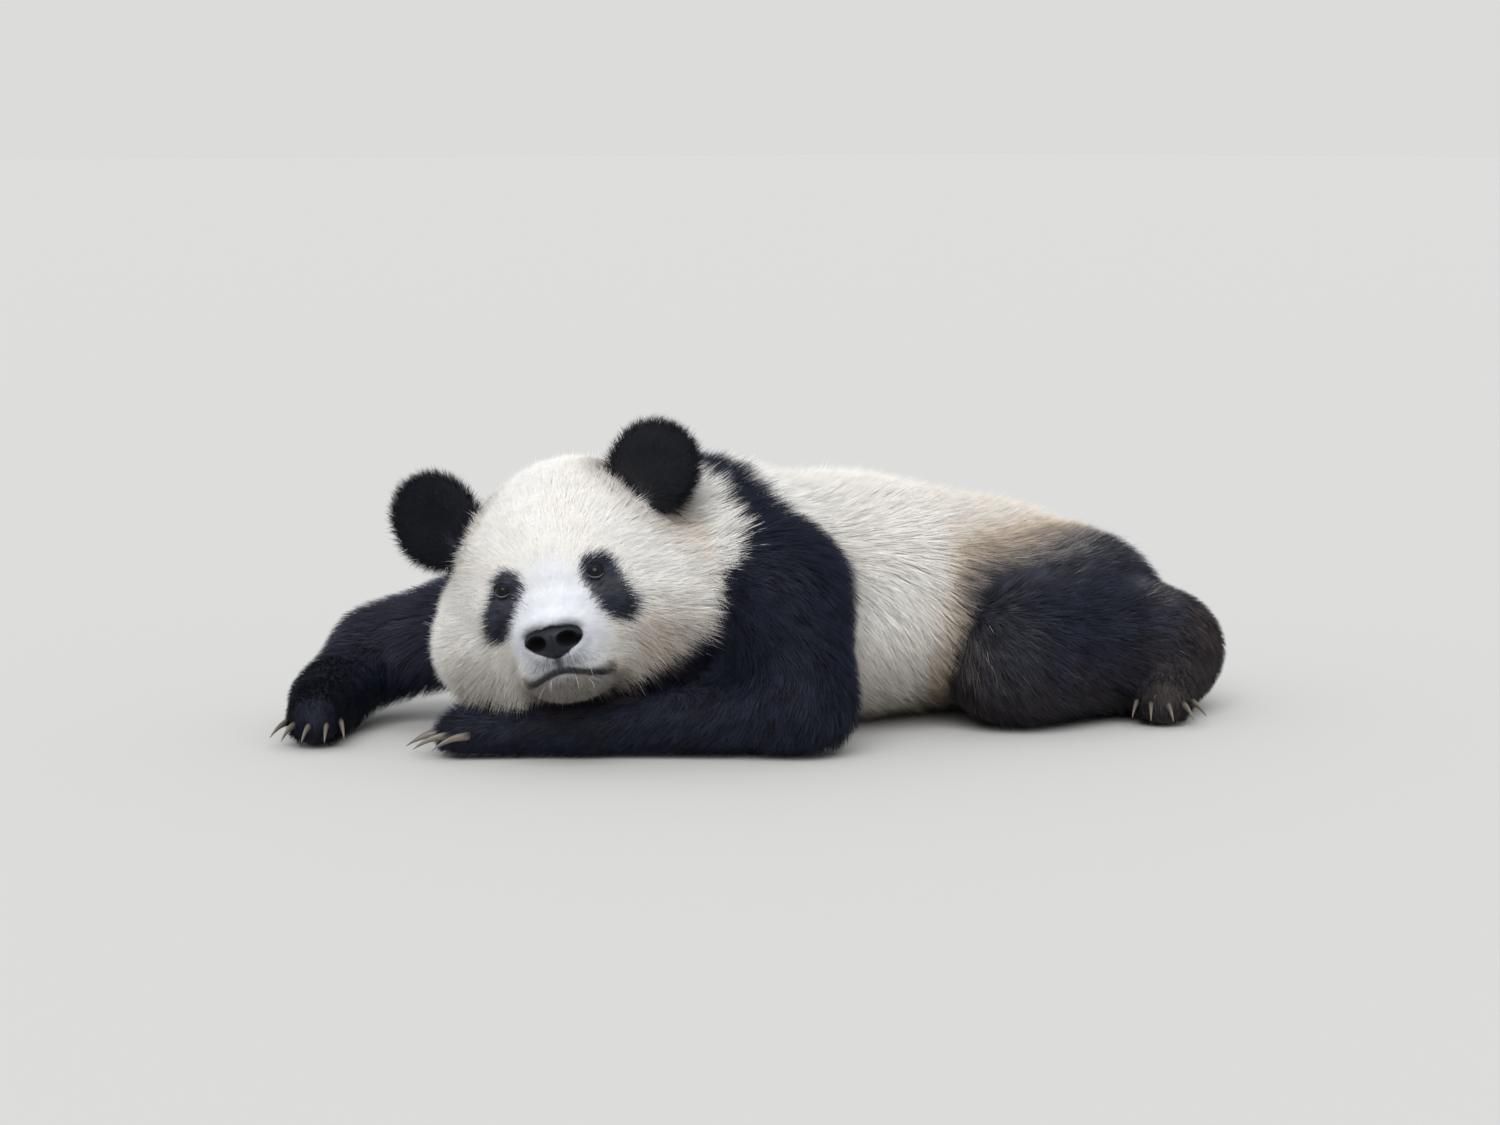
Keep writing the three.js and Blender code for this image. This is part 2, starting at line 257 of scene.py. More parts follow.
bodySizes = {  # eggs are given by middle and radii, those of the head in its own frame
    "headMiddle": (0, 0, 0.200),
    "headAngles": (-6, -12.5, 41),  # lift, tilt and turn in degrees
    "skull": (((0, 0.014, 0.036), (0.143, 0.146, 0.144)),
              ((0, -0.055, 0.030), (0.092, 0.070, 0.074)),
              ((0.086, 0.008, -0.042), (0.106, 0.110, 0.094)),
              ((-0.086, 0.008, -0.042), (0.106, 0.110, 0.094))),
    "crownDip": ((-0.062, -0.006, 0.158), 0.018, 0.080),  # middle, depth and radius
    "jaw": ((0, -0.082, -0.092), (0.066, 0.076, 0.042)),
    "muzzle": ((0, -0.112, -0.044), (0.058, 0.070, 0.047)),
    "earMiddles": {"left": (0.140, -0.006, 0.136), "right": (-0.148, -0.006, 0.125)},
    "earRadii": {"left": (0.062, 0.025, 0.066), "right": (0.063, 0.025, 0.073)},
    "earAngles": (-8, 34, 14),
    "eye": (0.058, 0.021),
    "eyeSunk": 0.006,
    "nose": (0, -0.163, -0.050),
    "trunk": (((0, 0.250, 0.165), (0.188, 0.190, 0.176)),  # chest, withers, ribs, loin and rump
              ((0, 0.230, 0.215), (0.118, 0.120, 0.110)),
              ((0, 0.450, 0.163), (0.224, 0.230, 0.170)),
              ((0, 0.670, 0.136), (0.208, 0.220, 0.152)),
              ((0, 0.820, 0.104), (0.186, 0.165, 0.124))),
    "neck": ((0, 0.190, 0.205), (0.012, 0.045, 0.005), 0.160, 0.148),  # from the trunk to a spot on the head
    "tail": ((0, 0.985, 0.120), (0, 1.035, 0.062), 0.034, 0.038),
}
melts = {  # how softly each form runs into its neighbours
    "skull": 0.045, "jaw": 0.028, "muzzle": 0.030, "trunk": 0.070, "leg": 0.026, "neck": 0.060, "tail": 0.024,
    "legRoot": 0.090, "legEnd": 0.004, "legReach": 0.230, "head": 0.050, "ear": 0.014,
}
headMiddle = np.array(bodySizes["headMiddle"])
headTurn = rotation(*bodySizes["headAngles"])
sides = {"left": 1, "right": -1}


def onHead(x, y, z):
    return headTurn @ np.array((x, y, z), float) + headMiddle


def toHead(p):
    return (p - headMiddle) @ headTurn


def headEgg(centre, radii, turn=np.eye(3)):
    return egg(onHead(*centre), radii, headTurn @ turn)


roundSkull = blended([headEgg(*shape) for shape in bodySizes["skull"]], melts["skull"])
jawForm, muzzleForm = headEgg(*bodySizes["jaw"]), headEgg(*bodySizes["muzzle"])


def skullForm(p):
    middle, depth, radius = bodySizes["crownDip"]
    return roundSkull(p) + depth * np.exp(-((p - onHead(*middle)) ** 2).sum(1) / radius ** 2)


def headForm(p):
    return smoothMin(smoothMin(skullForm(p), jawForm(p), melts["jaw"]), muzzleForm(p), melts["muzzle"])


earForms, earTurns = {}, {}
for side, s in sides.items():
    lift, tilt, turn = bodySizes["earAngles"]
    earTurns[side] = rotation(lift, s * tilt, s * turn)
    earForms[side] = headEgg(bodySizes["earMiddles"][side], bodySizes["earRadii"][side], earTurns[side])


def earForm(p):
    return np.minimum(earForms["left"](p), earForms["right"](p))


trunkForm = blended([egg(*shape) for shape in bodySizes["trunk"]], melts["trunk"])
neckRoot, neckTop, *neckRadii = bodySizes["neck"]
neckForm = limb(neckRoot, onHead(*neckTop), *neckRadii)
tailForm = limb(*bodySizes["tail"])

legs = {
    "foreleg_left": {
        "joints": ((0.150, 0.205, 0.190), (0.208, 0.205, 0.070), (0.032, -0.005, 0.040),
                   (-0.058, -0.128, 0.034)),
        "radii": (0.112, 0.076, 0.046, 0.040),
        "claws": (-0.55, -0.83, -0.05),
    },
    "foreleg_right": {
        "joints": ((-0.170, 0.180, 0.170), (-0.390, -0.018, 0.086), (-0.322, -0.150, 0.044),
                   (-0.248, -0.222, 0.034)),
        "radii": (0.104, 0.068, 0.048, 0.040),
        "claws": (0.66, -0.75, -0.05),
    },
}
for side, s in sides.items():
    legs["hind_leg_" + side] = {
        "joints": ((s * 0.118, 0.815, 0.112), (s * 0.236, 0.570, 0.098), (s * 0.258, 0.828, 0.080),
                   (s * 0.350, 0.728, 0.032)),
        "radii": (0.122, 0.102, 0.080, 0.042),
        "claws": (s * 0.8, -0.6, -0.05),
    }
for leg in legs.values():
    joints, radii = leg["joints"], leg["radii"]
    leg["parts"] = [limb(joints[i], joints[i + 1], radii[i], radii[i + 1]) for i in range(3)]
    leg["form"] = blended(leg["parts"], melts["leg"])
fore, hind = ("foreleg_left", "foreleg_right"), ("hind_leg_left", "hind_leg_right")


def fleshForm(p):
    body = smoothMin(smoothMin(trunkForm(p), neckForm(p), melts["neck"]), tailForm(p), melts["tail"])
    root, end = melts["legRoot"], melts["legEnd"]
    for leg in legs.values():
        reach = np.linalg.norm(p - leg["joints"][0], axis=1) / melts["legReach"]
        body = smoothMin(body, leg["form"](p), root + (end - root) * np.minimum(reach, 1))
    head = smoothMin(headForm(p), neckForm(p), melts["head"])
    for ear in earForms.values():
        head = smoothMin(head, ear(p), melts["ear"])
    return np.minimum(body, head)


# Walks from a start towards a form until it is met, then on by a depth
def walkTo(form, start, direction, depth=0.0):
    p = np.array(start, float)
    while (gap := form(p[None])[0]) > 2e-5:
        p = p + direction * max(gap * 0.5, 2e-5)
    return p + direction * depth


headBack = headTurn @ np.array((0, 1, 0))
eyeSpots = {side: walkTo(headForm, onHead(s * bodySizes["eye"][0], -0.25, bodySizes["eye"][1]), headBack)
            for side, s in sides.items()}
eyeLow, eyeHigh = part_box("eye_left")
shift = np.array((eyeLow + eyeHigh) / 2) - (eyeSpots["left"] + headBack * bodySizes["eyeSunk"])
shift[2] = 0
print("design frame is shifted by", shift.round(5))


# The coat by zones
def headBall(x, y, z, radius):
    return egg(onHead(x, y, z), (radius, radius, radius))


def mirrored(x, y, z, radius):
    forms = [headBall(s * x, y, z, radius) for s in (1, -1)]
    return lambda p: np.minimum(forms[0](p), forms[1](p))


def limbsOf(part, names):
    forms = [legs[name]["parts"][part] for name in names]
    return lambda p: np.min([form(p) for form in forms], axis=0)


coatZones = {  # form, weight, reach; then depth of the coat, and its tufts' length, width and spacing, in mm
    "trunk": (trunkForm, 1.0, 20, 21, 44, 1.1, 2.1),
    "rump": (egg((0, 0.88, 0.10), (0.15, 0.12, 0.11)), 2.0, 25, 23, 46, 1.15, 2.2),
    "neck": (neckForm, 1.5, 20, 22, 42, 1.05, 1.9),
    "tail": (tailForm, 4.0, 10, 14, 30, 1.2, 2.4),
    "upper": (limbsOf(0, fore), 1.5, 15, 17, 38, 1.1, 2.2),
    "thigh": (limbsOf(0, hind), 1.5, 15, 19, 38, 1.1, 2.2),
    "forearm": (limbsOf(1, fore + hind), 2.0, 10, 13, 29, 1.2, 2.6),
    "paw": (limbsOf(2, fore + hind), 4.0, 8, 8, 16, 1.2, 2.2),
    "skull": (skullForm, 3.0, 12, 12, 26, 0.8, 1.5),
    "cheek": (mirrored(0.150, -0.030, -0.055, 0.06), 9.0, 25, 21, 36, 0.85, 1.55),
    "forehead": (headBall(0, -0.110, 0.065, 0.05), 9.0, 20, 9, 17, 0.75, 1.35),
    "muzzle": (headBall(0, -0.145, -0.055, 0.045), 60.0, 12, 4, 8, 0.6, 1.05),
    "bridge": (headBall(0, -0.125, 0.0, 0.03), 30.0, 12, 5, 10, 0.65, 1.15),
    "eyes": (mirrored(0.064, -0.125, 0.005, 0.026), 40.0, 10, 5, 9, 0.65, 1.15),
    "chin": (headBall(0, -0.125, -0.110, 0.03), 30.0, 12, 8, 15, 0.75, 1.35),
    "ear": (earForm, 40.0, 7, 11, 26, 0.85, 1.6),
}
zoneNames = list(coatZones)
zoneColumns = {"depth": 3, "length": 4, "width": 5, "spacing": 6}


def zoneWeights(p):
    weights = np.stack([weight * np.exp(-np.clip(form(p) * 1000 / reach, 0, 60))
                        for form, weight, reach, *rest in coatZones.values()], axis=1)
    return weights / np.maximum(weights.sum(1, keepdims=True), 1e-12)


def zoneValue(weights, column):  # in metres
    return weights @ np.array([zone[zoneColumns[column]] for zone in coatZones.values()], float) / 1000


# The nose: a broad leather pad on a narrower foot, with two deep nostrils
noseSizes = {
    "cell": 0.0013,
    "reach": 0.046,
    "padRadii": (0.0365, 0.0190, 0.0172),
    "footRadii": (0.0140, 0.0130, 0.0130),
    "footAt": (0, 0.003, -0.010),
    "footMelt": 0.012,
    "nostril": ((0.0195, -0.0150, -0.0026), (0.0122, 0.0175, 0.0088)),  # middle and radii
    "slit": ((0.0300, -0.0090, -0.0062), (0.0090, 0.0110, 0.0046)),
    "groove": 0.0016,  # depth and half width of the groove down the middle
}


def noseBody(p):
    foot = np.add(bodySizes["nose"], noseSizes["footAt"])
    return smoothMin(headEgg(bodySizes["nose"], noseSizes["padRadii"])(p),
                     headEgg(foot, noseSizes["footRadii"])(p), noseSizes["footMelt"])


# Distance from the two nostrils and their slits, less than 0 inside them
def nostrils(p):
    q = toHead(p) - bodySizes["nose"]
    nearest = np.full(len(p), 1.0)
    for s in (1, -1):
        for part in ("nostril", "slit"):
            middle, radii = noseSizes[part]
            away = np.linalg.norm((q - np.array(middle) * (s, 1, 1)) / radii, axis=1)
            nearest = np.minimum(nearest, (away - 1) * radii[2])
    return nearest


def bell(value, width):
    return np.exp(-(value / width) ** 2)


def noseForm(p):
    q = toHead(p) - bodySizes["nose"]
    groove = noseSizes["groove"]
    d = -smoothMin(-noseBody(p), nostrils(p), 0.002)
    return d + groove * bell(q[:, 0], groove) * (q[:, 2] < 0.004) * (q[:, 1] < 0)


# Folds of the face: depth, or height where less than 0, and radius
faceSizes = {
    "socket": (0.0045, 0.017),
    "brow": (-0.003, 0.015),
    "lip": (-0.003, 0.020),
    "lipAt": (0.026, -0.150, -0.078),
    "earCup": (0.009, 0.030),
    "earCupAt": (0, -0.03, -0.006),  # from the ear's middle
    "mouth": (0.0055, 0.0046),
    "cleft": (0.0022, 0.0022),
    "noseBed": 0.014,
}


def mouthHeight(x):
    x = np.abs(x)
    return -0.0905 - 0.0110 * smoothStep(0, 0.046, x) + 0.004 * smoothStep(0.046, 0.058, x)


def faceFolds(p):
    q = toHead(p)
    folds = np.zeros(len(p))
    near = (q[:, 1] < 0.06) & (np.abs(q[:, 0]) < 0.25) & (np.abs(q[:, 2]) < 0.25)
    q = q[near]
    total = np.zeros(len(q))
    for side, s in sides.items():
        eye = toHead(eyeSpots[side][None])[0]
        cup = headTurn @ earTurns[side] @ np.array(faceSizes["earCupAt"])
        cup = toHead((onHead(*bodySizes["earMiddles"][side]) + cup)[None])[0]
        for name, centre in (("socket", eye + (0, 0.006, 0)), ("brow", eye + (s * 0.004, 0, 0.024)),
                             ("lip", np.multiply(faceSizes["lipAt"], (s, 1, 1))), ("earCup", cup)):
            depth, radius = faceSizes[name]
            total += depth * np.exp(-((q - centre) ** 2).sum(1) / radius ** 2)
    total += faceSizes["noseBed"] * smoothStep(0.0015, -0.005, noseBody(p[near]))
    depth, width = faceSizes["mouth"]
    front = smoothStep(-0.095, -0.115, q[:, 1]) * smoothStep(0.066, 0.050, np.abs(q[:, 0]))
    total += depth * front * bell(q[:, 2] - mouthHeight(q[:, 0]), width)
    depth, width = faceSizes["cleft"]
    cleft = smoothStep(-0.095, -0.088, q[:, 2]) * smoothStep(-0.060, -0.070, q[:, 2]) * (q[:, 1] < -0.1)
    total += depth * cleft * bell(q[:, 0], width)
    folds[near] = total
    return folds


skinSizes = {
    "rest": 0.003,  # lowest height over the floor
    "cell": 0.0072,
    "margin": 0.02,
    "headReach": 0.215,  # twice as fine this near to the head's middle, and again near eyes, nose and lips
    "headSpot": (0, -0.02, 0.02),
    "fineReach": 0.050,
    "fineSpots": ((0, -0.15, -0.06), (0.03, -0.14, -0.09), (-0.03, -0.14, -0.09)),
    "swells": (((0.262, 0.790, 0.172), 0.011, 0.050),  # middle, height and radius of the fuller coat over the
               ((-0.262, 0.790, 0.172), 0.011, 0.050),  # hocks and behind the cheek
               ((0.150, 0.135, 0.265), 0.010, 0.045)),
}


def skinForm(p):
    flesh = fleshForm(p)
    near = np.abs(flesh) < 0.06
    q = p[near]
    flesh[near] += zoneValue(zoneWeights(q), "depth") + faceFolds(q)
    for middle, height, radius in skinSizes["swells"]:
        flesh[near] -= height * np.exp(-((q - middle) ** 2).sum(1) / radius ** 2)
    return np.maximum(flesh, skinSizes["rest"] - p[:, 2])


# Surface nets: one point in each cell that the surface crosses, and one quad across each crossed grid edge
def surfaceNet(form, low, high, cell):
    counts = np.ceil((np.array(high) - low) / cell).astype(int) + 1
    axes = [low[k] + cell * np.arange(counts[k]) for k in range(3)]
    grid = np.stack(np.meshgrid(*axes, indexing="ij"), axis=-1)
    value = form(grid.reshape(-1, 3)).reshape(counts)
    cells = tuple(counts - 1)
    total, crossings = np.zeros(cells + (3,)), np.zeros(cells)
    for axis in range(3):
        for i in (0, 1):
            for j in (0, 1):
                start = [i, j]
                start.insert(axis, 0)
                end = list(start)
                end[axis] = 1
                a, b = (value[tuple(slice(o, o + c) for o, c in zip(corner, cells))]
                        for corner in (start, end))
                crossed = (a < 0) != (b < 0)
                t = a[crossed] / (a[crossed] - b[crossed])
                place = np.tile(np.array(start, float), (len(t), 1))
                place[:, axis] = t
                total[crossed] += place
                crossings[crossed] += 1
    active = crossings > 0
    numberOf = np.full(cells, -1)
    numberOf[active] = np.arange(active.sum())
    points = np.array(low) + cell * (np.argwhere(active) + total[active] / crossings[active][:, None])
    quads = []
    for axis in range(3):
        s, t = np.eye(3, dtype=int)[[(axis + 1) % 3, (axis + 2) % 3]]
        ahead = [slice(1, None)] * 3
        ahead[axis] = slice(0, -1)
        beyond = list(ahead)
        beyond[axis] = slice(1, None)
        inside = value < 0
        change = inside[tuple(ahead)] != inside[tuple(beyond)]
        here = np.argwhere(change) + [0 if k == axis else 1 for k in range(3)]
        ring = [numberOf[tuple(np.minimum(here - o, np.array(cells) - 1).T)] for o in (0 * s, s, s + t, t)]
        quad = np.stack(ring, axis=1)
        flip = ~inside[tuple(here.T)]
        quad[flip] = quad[flip][:, ::-1]
        quads.append(quad)
    quads = np.concatenate(quads)
    return points, np.concatenate([quads[:, [0, 1, 2]], quads[:, [0, 2, 3]]])


# Splits every edge whose two ends are chosen
def refined(points, triangles, chosen):
    edges = np.sort(np.concatenate([triangles[:, [i, (i + 1) % 3]] for i in range(3)]), axis=1)
    unique, where = np.unique(edges, axis=0, return_inverse=True)
    split = chosen[unique].all(axis=1)
    middles = np.full(len(unique), -1)
    middles[split] = len(points) + np.arange(split.sum())
    points = np.concatenate([points, points[unique[split]].mean(axis=1)])
    m = middles[where.reshape(-1)].reshape(3, -1).T
    count = (m >= 0).sum(axis=1)
    a, b, c = triangles[count == 3].T
    ab, bc, ca = m[count == 3].T
    parts = [triangles[count == 0]]
    parts += [np.stack(t, axis=1) for t in ((a, ab, ca), (ab, b, bc), (ca, bc, c), (ab, bc, ca))]
    for i in range(3):
        one = (count == 1) & (m[:, i] >= 0)
        a, b, c = triangles[one][:, [i, (i + 1) % 3, (i + 2) % 3]].T
        parts += [np.stack((a, m[one][:, i], c), axis=1), np.stack((m[one][:, i], b, c), axis=1)]
    return points, np.concatenate(parts)


# Moves points along the form's slope until they lie on the surface
def settled(points, form, rounds=3, reach=0.004):
    step = 4e-4
    for _ in range(rounds):
        d = form(points)
        slope = np.stack([form(points + step * axis) - d for axis in np.eye(3)], axis=1) / step
        move = (d / np.maximum((slope ** 2).sum(1), 0.1))[:, None] * slope
        length = np.linalg.norm(move, axis=1, keepdims=True)
        points = points - move * np.minimum(1, reach / np.maximum(length, 1e-9))
    return points


def normalsOf(points, triangles):
    a, b, c = (points[triangles[:, i]] for i in range(3))
    faceNormals = np.cross(b - a, c - a)
    total = np.stack([sum(np.bincount(triangles[:, i], faceNormals[:, k], len(points)) for i in range(3))
                      for k in range(3)], axis=1)
    areas = np.linalg.norm(faceNormals, axis=1) / 2
    return total / np.maximum(np.linalg.norm(total, axis=1, keepdims=True), 1e-12), areas


def unit(v):
    return v / np.maximum(np.linalg.norm(v, axis=-1, keepdims=True), 1e-9)


def meshObject(name, points, faces, material=None):
    mesh = bpy.data.meshes.new(name)
    faces = np.asarray(faces)
    mesh.vertices.add(len(points))
    mesh.vertices.foreach_set("co", (points + shift).astype(np.float32).ravel())
    mesh.loops.add(faces.size)
    mesh.loops.foreach_set("vertex_index", faces.astype(np.int32).ravel())
    mesh.polygons.add(len(faces))
    mesh.polygons.foreach_set("loop_start", np.arange(len(faces), dtype=np.int32) * faces.shape[1])
    mesh.update(calc_edges=True)
    mesh.polygons.foreach_set("use_smooth", np.full(len(faces), True))
    piece = bpy.data.objects.new(name, mesh)
    bpy.context.collection.objects.link(piece)
    if material:
        mesh.materials.append(material)
    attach(piece, "root")
    return piece


def setLook(piece, *columns):
    look = np.stack([np.broadcast_to(c, len(piece.data.vertices)) for c in columns], axis=1)
    attribute = piece.data.attributes.new("look", "FLOAT_COLOR", "POINT")
    attribute.data.foreach_set("color", look.astype(np.float32).ravel())


# Markings: how dark the coat is, and how warm (+) or cool (-) its white is
markSizes = {
    "patches": (((0.064, 0.023), (0.079, -0.023), 0.0215),  # ends and radius, across and up the face
                ((-0.051, 0.023), (-0.076, -0.021), 0.0205)),
    "patchTone": (0.985, 0.038, 0.008),  # how dark, how much less round the eye, and how uneven
    # the band's rear and front edges along the body, by height
    "bandRear": ((0.0, 0.39), (0.053, 0.355), (0.109, 0.285), (0.17, 0.232), (0.245, 0.218), (0.28, 0.240),
                 (0.36, 0.245)),
    "bandFront": ((0.05, -0.10), (0.13, 0.075), (0.18, 0.090), (0.22, 0.102), (0.245, 0.124), (0.275, 0.152),
                  (0.30, 0.172), (0.335, 0.178), (0.352, 0.150)),
    "hip": (0.032, 0.016, 0.06, 0.022),  # how far the hind legs' black runs on; less on rump, spine, flank
    "hipFront": 0.020,
    # darker low on the flank: painted shade from below, and dirt
    "hipTone": (0.034, 0.022, 0.012),  # paler on top, paler in front, uneven
    "lowFlankShadeAndDirt": 0.20,
    "bib": (0.216, 0.138),  # radii of the white face, past which the throat is black
    "dusting": (0.34, 0.20),  # below the nose, and less above it
    "under": (0.92, 0.013, 0.014),  # below the nose's foot: how dark, height, width
    "stubble": (0.64, 0.20),
    # the mouth's dark band: the black lips, and painted shade in the mouth's crease, wider at the corners
    "lips": (0.0070, 0.0035, 1.25, 0.34, 0.95),  # width, wider at corners, tone, less at corners, most
    "haze": (0.85, 0.015),  # over the nose's top edge
    "rim": 0.45,
    # the chin's dark: its olive-grey fur, and painted shade under the muzzle
    "chin": (0.74, 0.08),
    # darker lower cheeks, near and far: painted shade, and dirt
    "cheekShadeAndDirt": (0.31, 0.28),
}
warmSizes = {
    "cheeks": (0.65, 0.45), "chin": 0.45, "ruff": 0.45, "earRoots": 0.25, "hipEdge": 0.85, "rump": 0.40,
    "underside": 0.25, "back": 0.10, "flank": 0.17, "hindFeet": (0.30, 0.25), "patchy": 0.12,
    # coolMuzzle: the muzzle's bluish white, partly a painted bluish shade round the nose
    "coolMuzzle": 0.75, "coolPatches": 0.8,
}
ovals = {  # places on the face: middle, and how they are stretched
    "nose": ((0, -0.163, -0.052), (1.25, 1, 0.85)),
    "muzzle": ((0, -0.150, -0.030), (1, 1, 1.25)),
    "chin": ((0, -0.105, -0.124), (0.072, 0.11, 0.046)),
    "cheek": ((0.118, -0.065, -0.088), (1, 1, 0.9)),
    "farCheek": ((-0.125, -0.06, -0.085), (1, 1, 0.8)),
}


def fromOval(q, name):
    middle, stretch = ovals[name]
    return np.linalg.norm((q - middle) / stretch, axis=1)


def patchDistance(q):
    best = np.full(len(q), 1.0)
    for a, b, radius in markSizes["patches"]:
        a, b, f = np.array(a), np.array(b), q[:, [0, 2]]
        t = np.clip((f - a) @ (b - a) / ((b - a) @ (b - a)), 0, 1)
        best = np.minimum(best, np.linalg.norm(f - a - t[:, None] * (b - a), axis=1) - radius)
    return np.where(q[:, 1] < -0.05, best, 1.0)


def ripple(p, scale, seed):
    total = np.zeros(len(p))
    for i in range(5):
        turn = np.random.default_rng(seed + i).normal(size=3)
        turn = turn / np.linalg.norm(turn) * (2 * math.pi / scale) * (1 + 0.5 * i)
        total += np.sin(p @ turn + seed * 1.7 + i * 2.1) / (1 + 0.5 * i)
    return total / 2.5


def underChin(q, head):
    return (q[:, 1] < 0.0) & (head < 0.02) & (q[:, 2] < -0.09)


# Black round the nose and the mouth, and painted shade in the mouth's crease
def muzzleMarks(p, q, rough):
    across, up = np.abs(q[:, 0]), q[:, 2]
    tone, less = markSizes["dusting"]
    dusting = (tone - less * smoothStep(-0.06, -0.03, up)) * smoothStep(0.043, 0.030, fromOval(q, "nose"))
    tone, height, width = markSizes["under"]
    under = tone * bell(up + 0.080, height) * bell(across, width)
    tone, uneven = markSizes["stubble"]
    stubble = (tone + uneven * rough) * smoothStep(-0.060, -0.080, up) * smoothStep(0.052, 0.008, across)
    # The mouth's dark band: the black lips, and painted shade in the mouth's crease, wider at the corners
    width, wider, tone, less, most = markSizes["lips"]
    corner = smoothStep(0.030, 0.054, across)
    lips = bell(up - mouthHeight(across), width + wider * corner)
    lips = np.minimum(lips * (tone - less * corner), most) * smoothStep(0.068, 0.052, across)
    leather = noseForm(p)
    tone, reach = markSizes["haze"]
    haze = tone * smoothStep(reach, 0.001, leather) ** 2 * smoothStep(-0.050, -0.038, up)
    rim = np.maximum(smoothStep(0.003, 0.0, leather), markSizes["rim"] * smoothStep(0.006, 0.0, leather))
    return np.max([dusting, under, stubble, lips, haze, rim], axis=0)


# Black of the ears, the patches round the eyes, the band over the shoulders, and the legs
def bodyMarks(p, q, head, patch, wave, rough):
    torso = np.minimum(trunkForm(p), neckForm(p))
    foreleg, hindleg = (np.minimum(*(legs[name]["form"](p) for name in names)) for names in (fore, hind))
    dark = smoothStep(0.004, -0.003, earForm(p) + 0.001 + wave * 0.3)
    tone, paler, uneven = markSizes["patchTone"]
    nearEye = bell(q[:, 2] - 0.002, 0.014) + (q[:, 0] < 0) * smoothStep(0.016, 0.034, q[:, 2])
    dark = np.maximum(dark, patch * (tone - paler * np.minimum(nearEye, 1) + uneven * rough))

    rear = np.interp(p[:, 2], *zip(*markSizes["bandRear"])) - p[:, 1] + wave * 1.5
    front = p[:, 1] - np.interp(p[:, 2], *zip(*markSizes["bandFront"])) + wave
    ruff = -0.004 + 0.022 * smoothStep(0.14, 0.24, p[:, 2])
    band = smoothStep(-0.006, 0.008, np.minimum(rear, front)) * smoothStep(ruff, ruff + 0.012, head)
    dark = np.maximum(dark, band)
    onLeg = (foreleg < torso - 0.004) | ((foreleg < torso + 0.035) & (rear > 0))
    onRuff = (p[:, 0] > 0) & (head < 0.10) & (p[:, 2] > 0.12) & (front < 0)
    clear = head > np.where(q[:, 1] < -0.06, 0.006, ruff)
    dark = np.maximum(dark, np.where(onLeg & clear & ~onRuff, 1.0, 0.0))

    reach, rump, spine, flank = markSizes["hip"]
    back = rump * smoothStep(0.56, 0.66, p[:, 1]) + flank * smoothStep(0.19, 0.12, p[:, 2])
    back += spine * smoothStep(0.13, 0.06, np.abs(p[:, 0]))
    edge = reach - hindleg - back * smoothStep(0.012, -0.006, torso) + wave * 1.5 * (torso < 0.02)
    edge -= markSizes["hipFront"] * smoothStep(0.496, 0.466, p[:, 1])
    top, ahead, uneven = markSizes["hipTone"]
    hip = smoothStep(-0.026, 0.048, edge) ** 0.75
    paler = top * smoothStep(0.165, 0.205, p[:, 2]) + ahead * smoothStep(0.56, 0.49, p[:, 1])
    hip *= 1 - paler + uneven * rough
    # Darker low on the flank: painted shade from below, and dirt
    shadeAndDirt = markSizes["lowFlankShadeAndDirt"] * smoothStep(0.15, 0.06, p[:, 2]) * (torso < 0.01)
    return np.max([dark, np.clip(hip, 0, 1), shadeAndDirt], axis=0), edge


# Black, dirt and painted shade of the face and the throat, and the white tail
def faceMarks(p, q, head, dark, wave, rough):
    face = (q[:, 1] < -0.10) & (head < 0.02)
    dark = np.where(face, np.maximum(dark, muzzleMarks(p, q, rough)), dark)
    # The chin is darker: its olive-grey fur, and painted shade under the muzzle
    tone, uneven = markSizes["chin"]
    chin = (tone + uneven * rough) * smoothStep(1.30, 0.75, fromOval(q, "chin"))
    chin = chin * smoothStep(0.003, -0.004, q[:, 2] - mouthHeight(q[:, 0]))
    dark = np.where(underChin(q, head), np.maximum(dark, chin), dark)
    bib = np.linalg.norm((q[:, [0, 2]] - (0, 0.020)) / markSizes["bib"], axis=1) - 1 + rough * 0.02 + wave * 2
    bib = smoothStep(-0.02, 0.02, bib) * (head < 0.02) * (q[:, 0] > 0.03) * (q[:, 2] < 0) * (q[:, 1] > -0.07)
    dark = np.maximum(dark, bib)
    dark = np.where(tailForm(p) < 0.012, 0.0, dark)
    # The lower cheeks are darker: painted shade, and dirt
    near, far = markSizes["cheekShadeAndDirt"]
    shadeAndDirt = near * smoothStep(0.085, 0.025, fromOval(q, "cheek"))
    shadeAndDirt += far * smoothStep(0.08, 0.02, fromOval(q, "farCheek"))
    return np.where((head < 0.02) & (q[:, 2] < 0.0), np.maximum(dark, shadeAndDirt), dark)
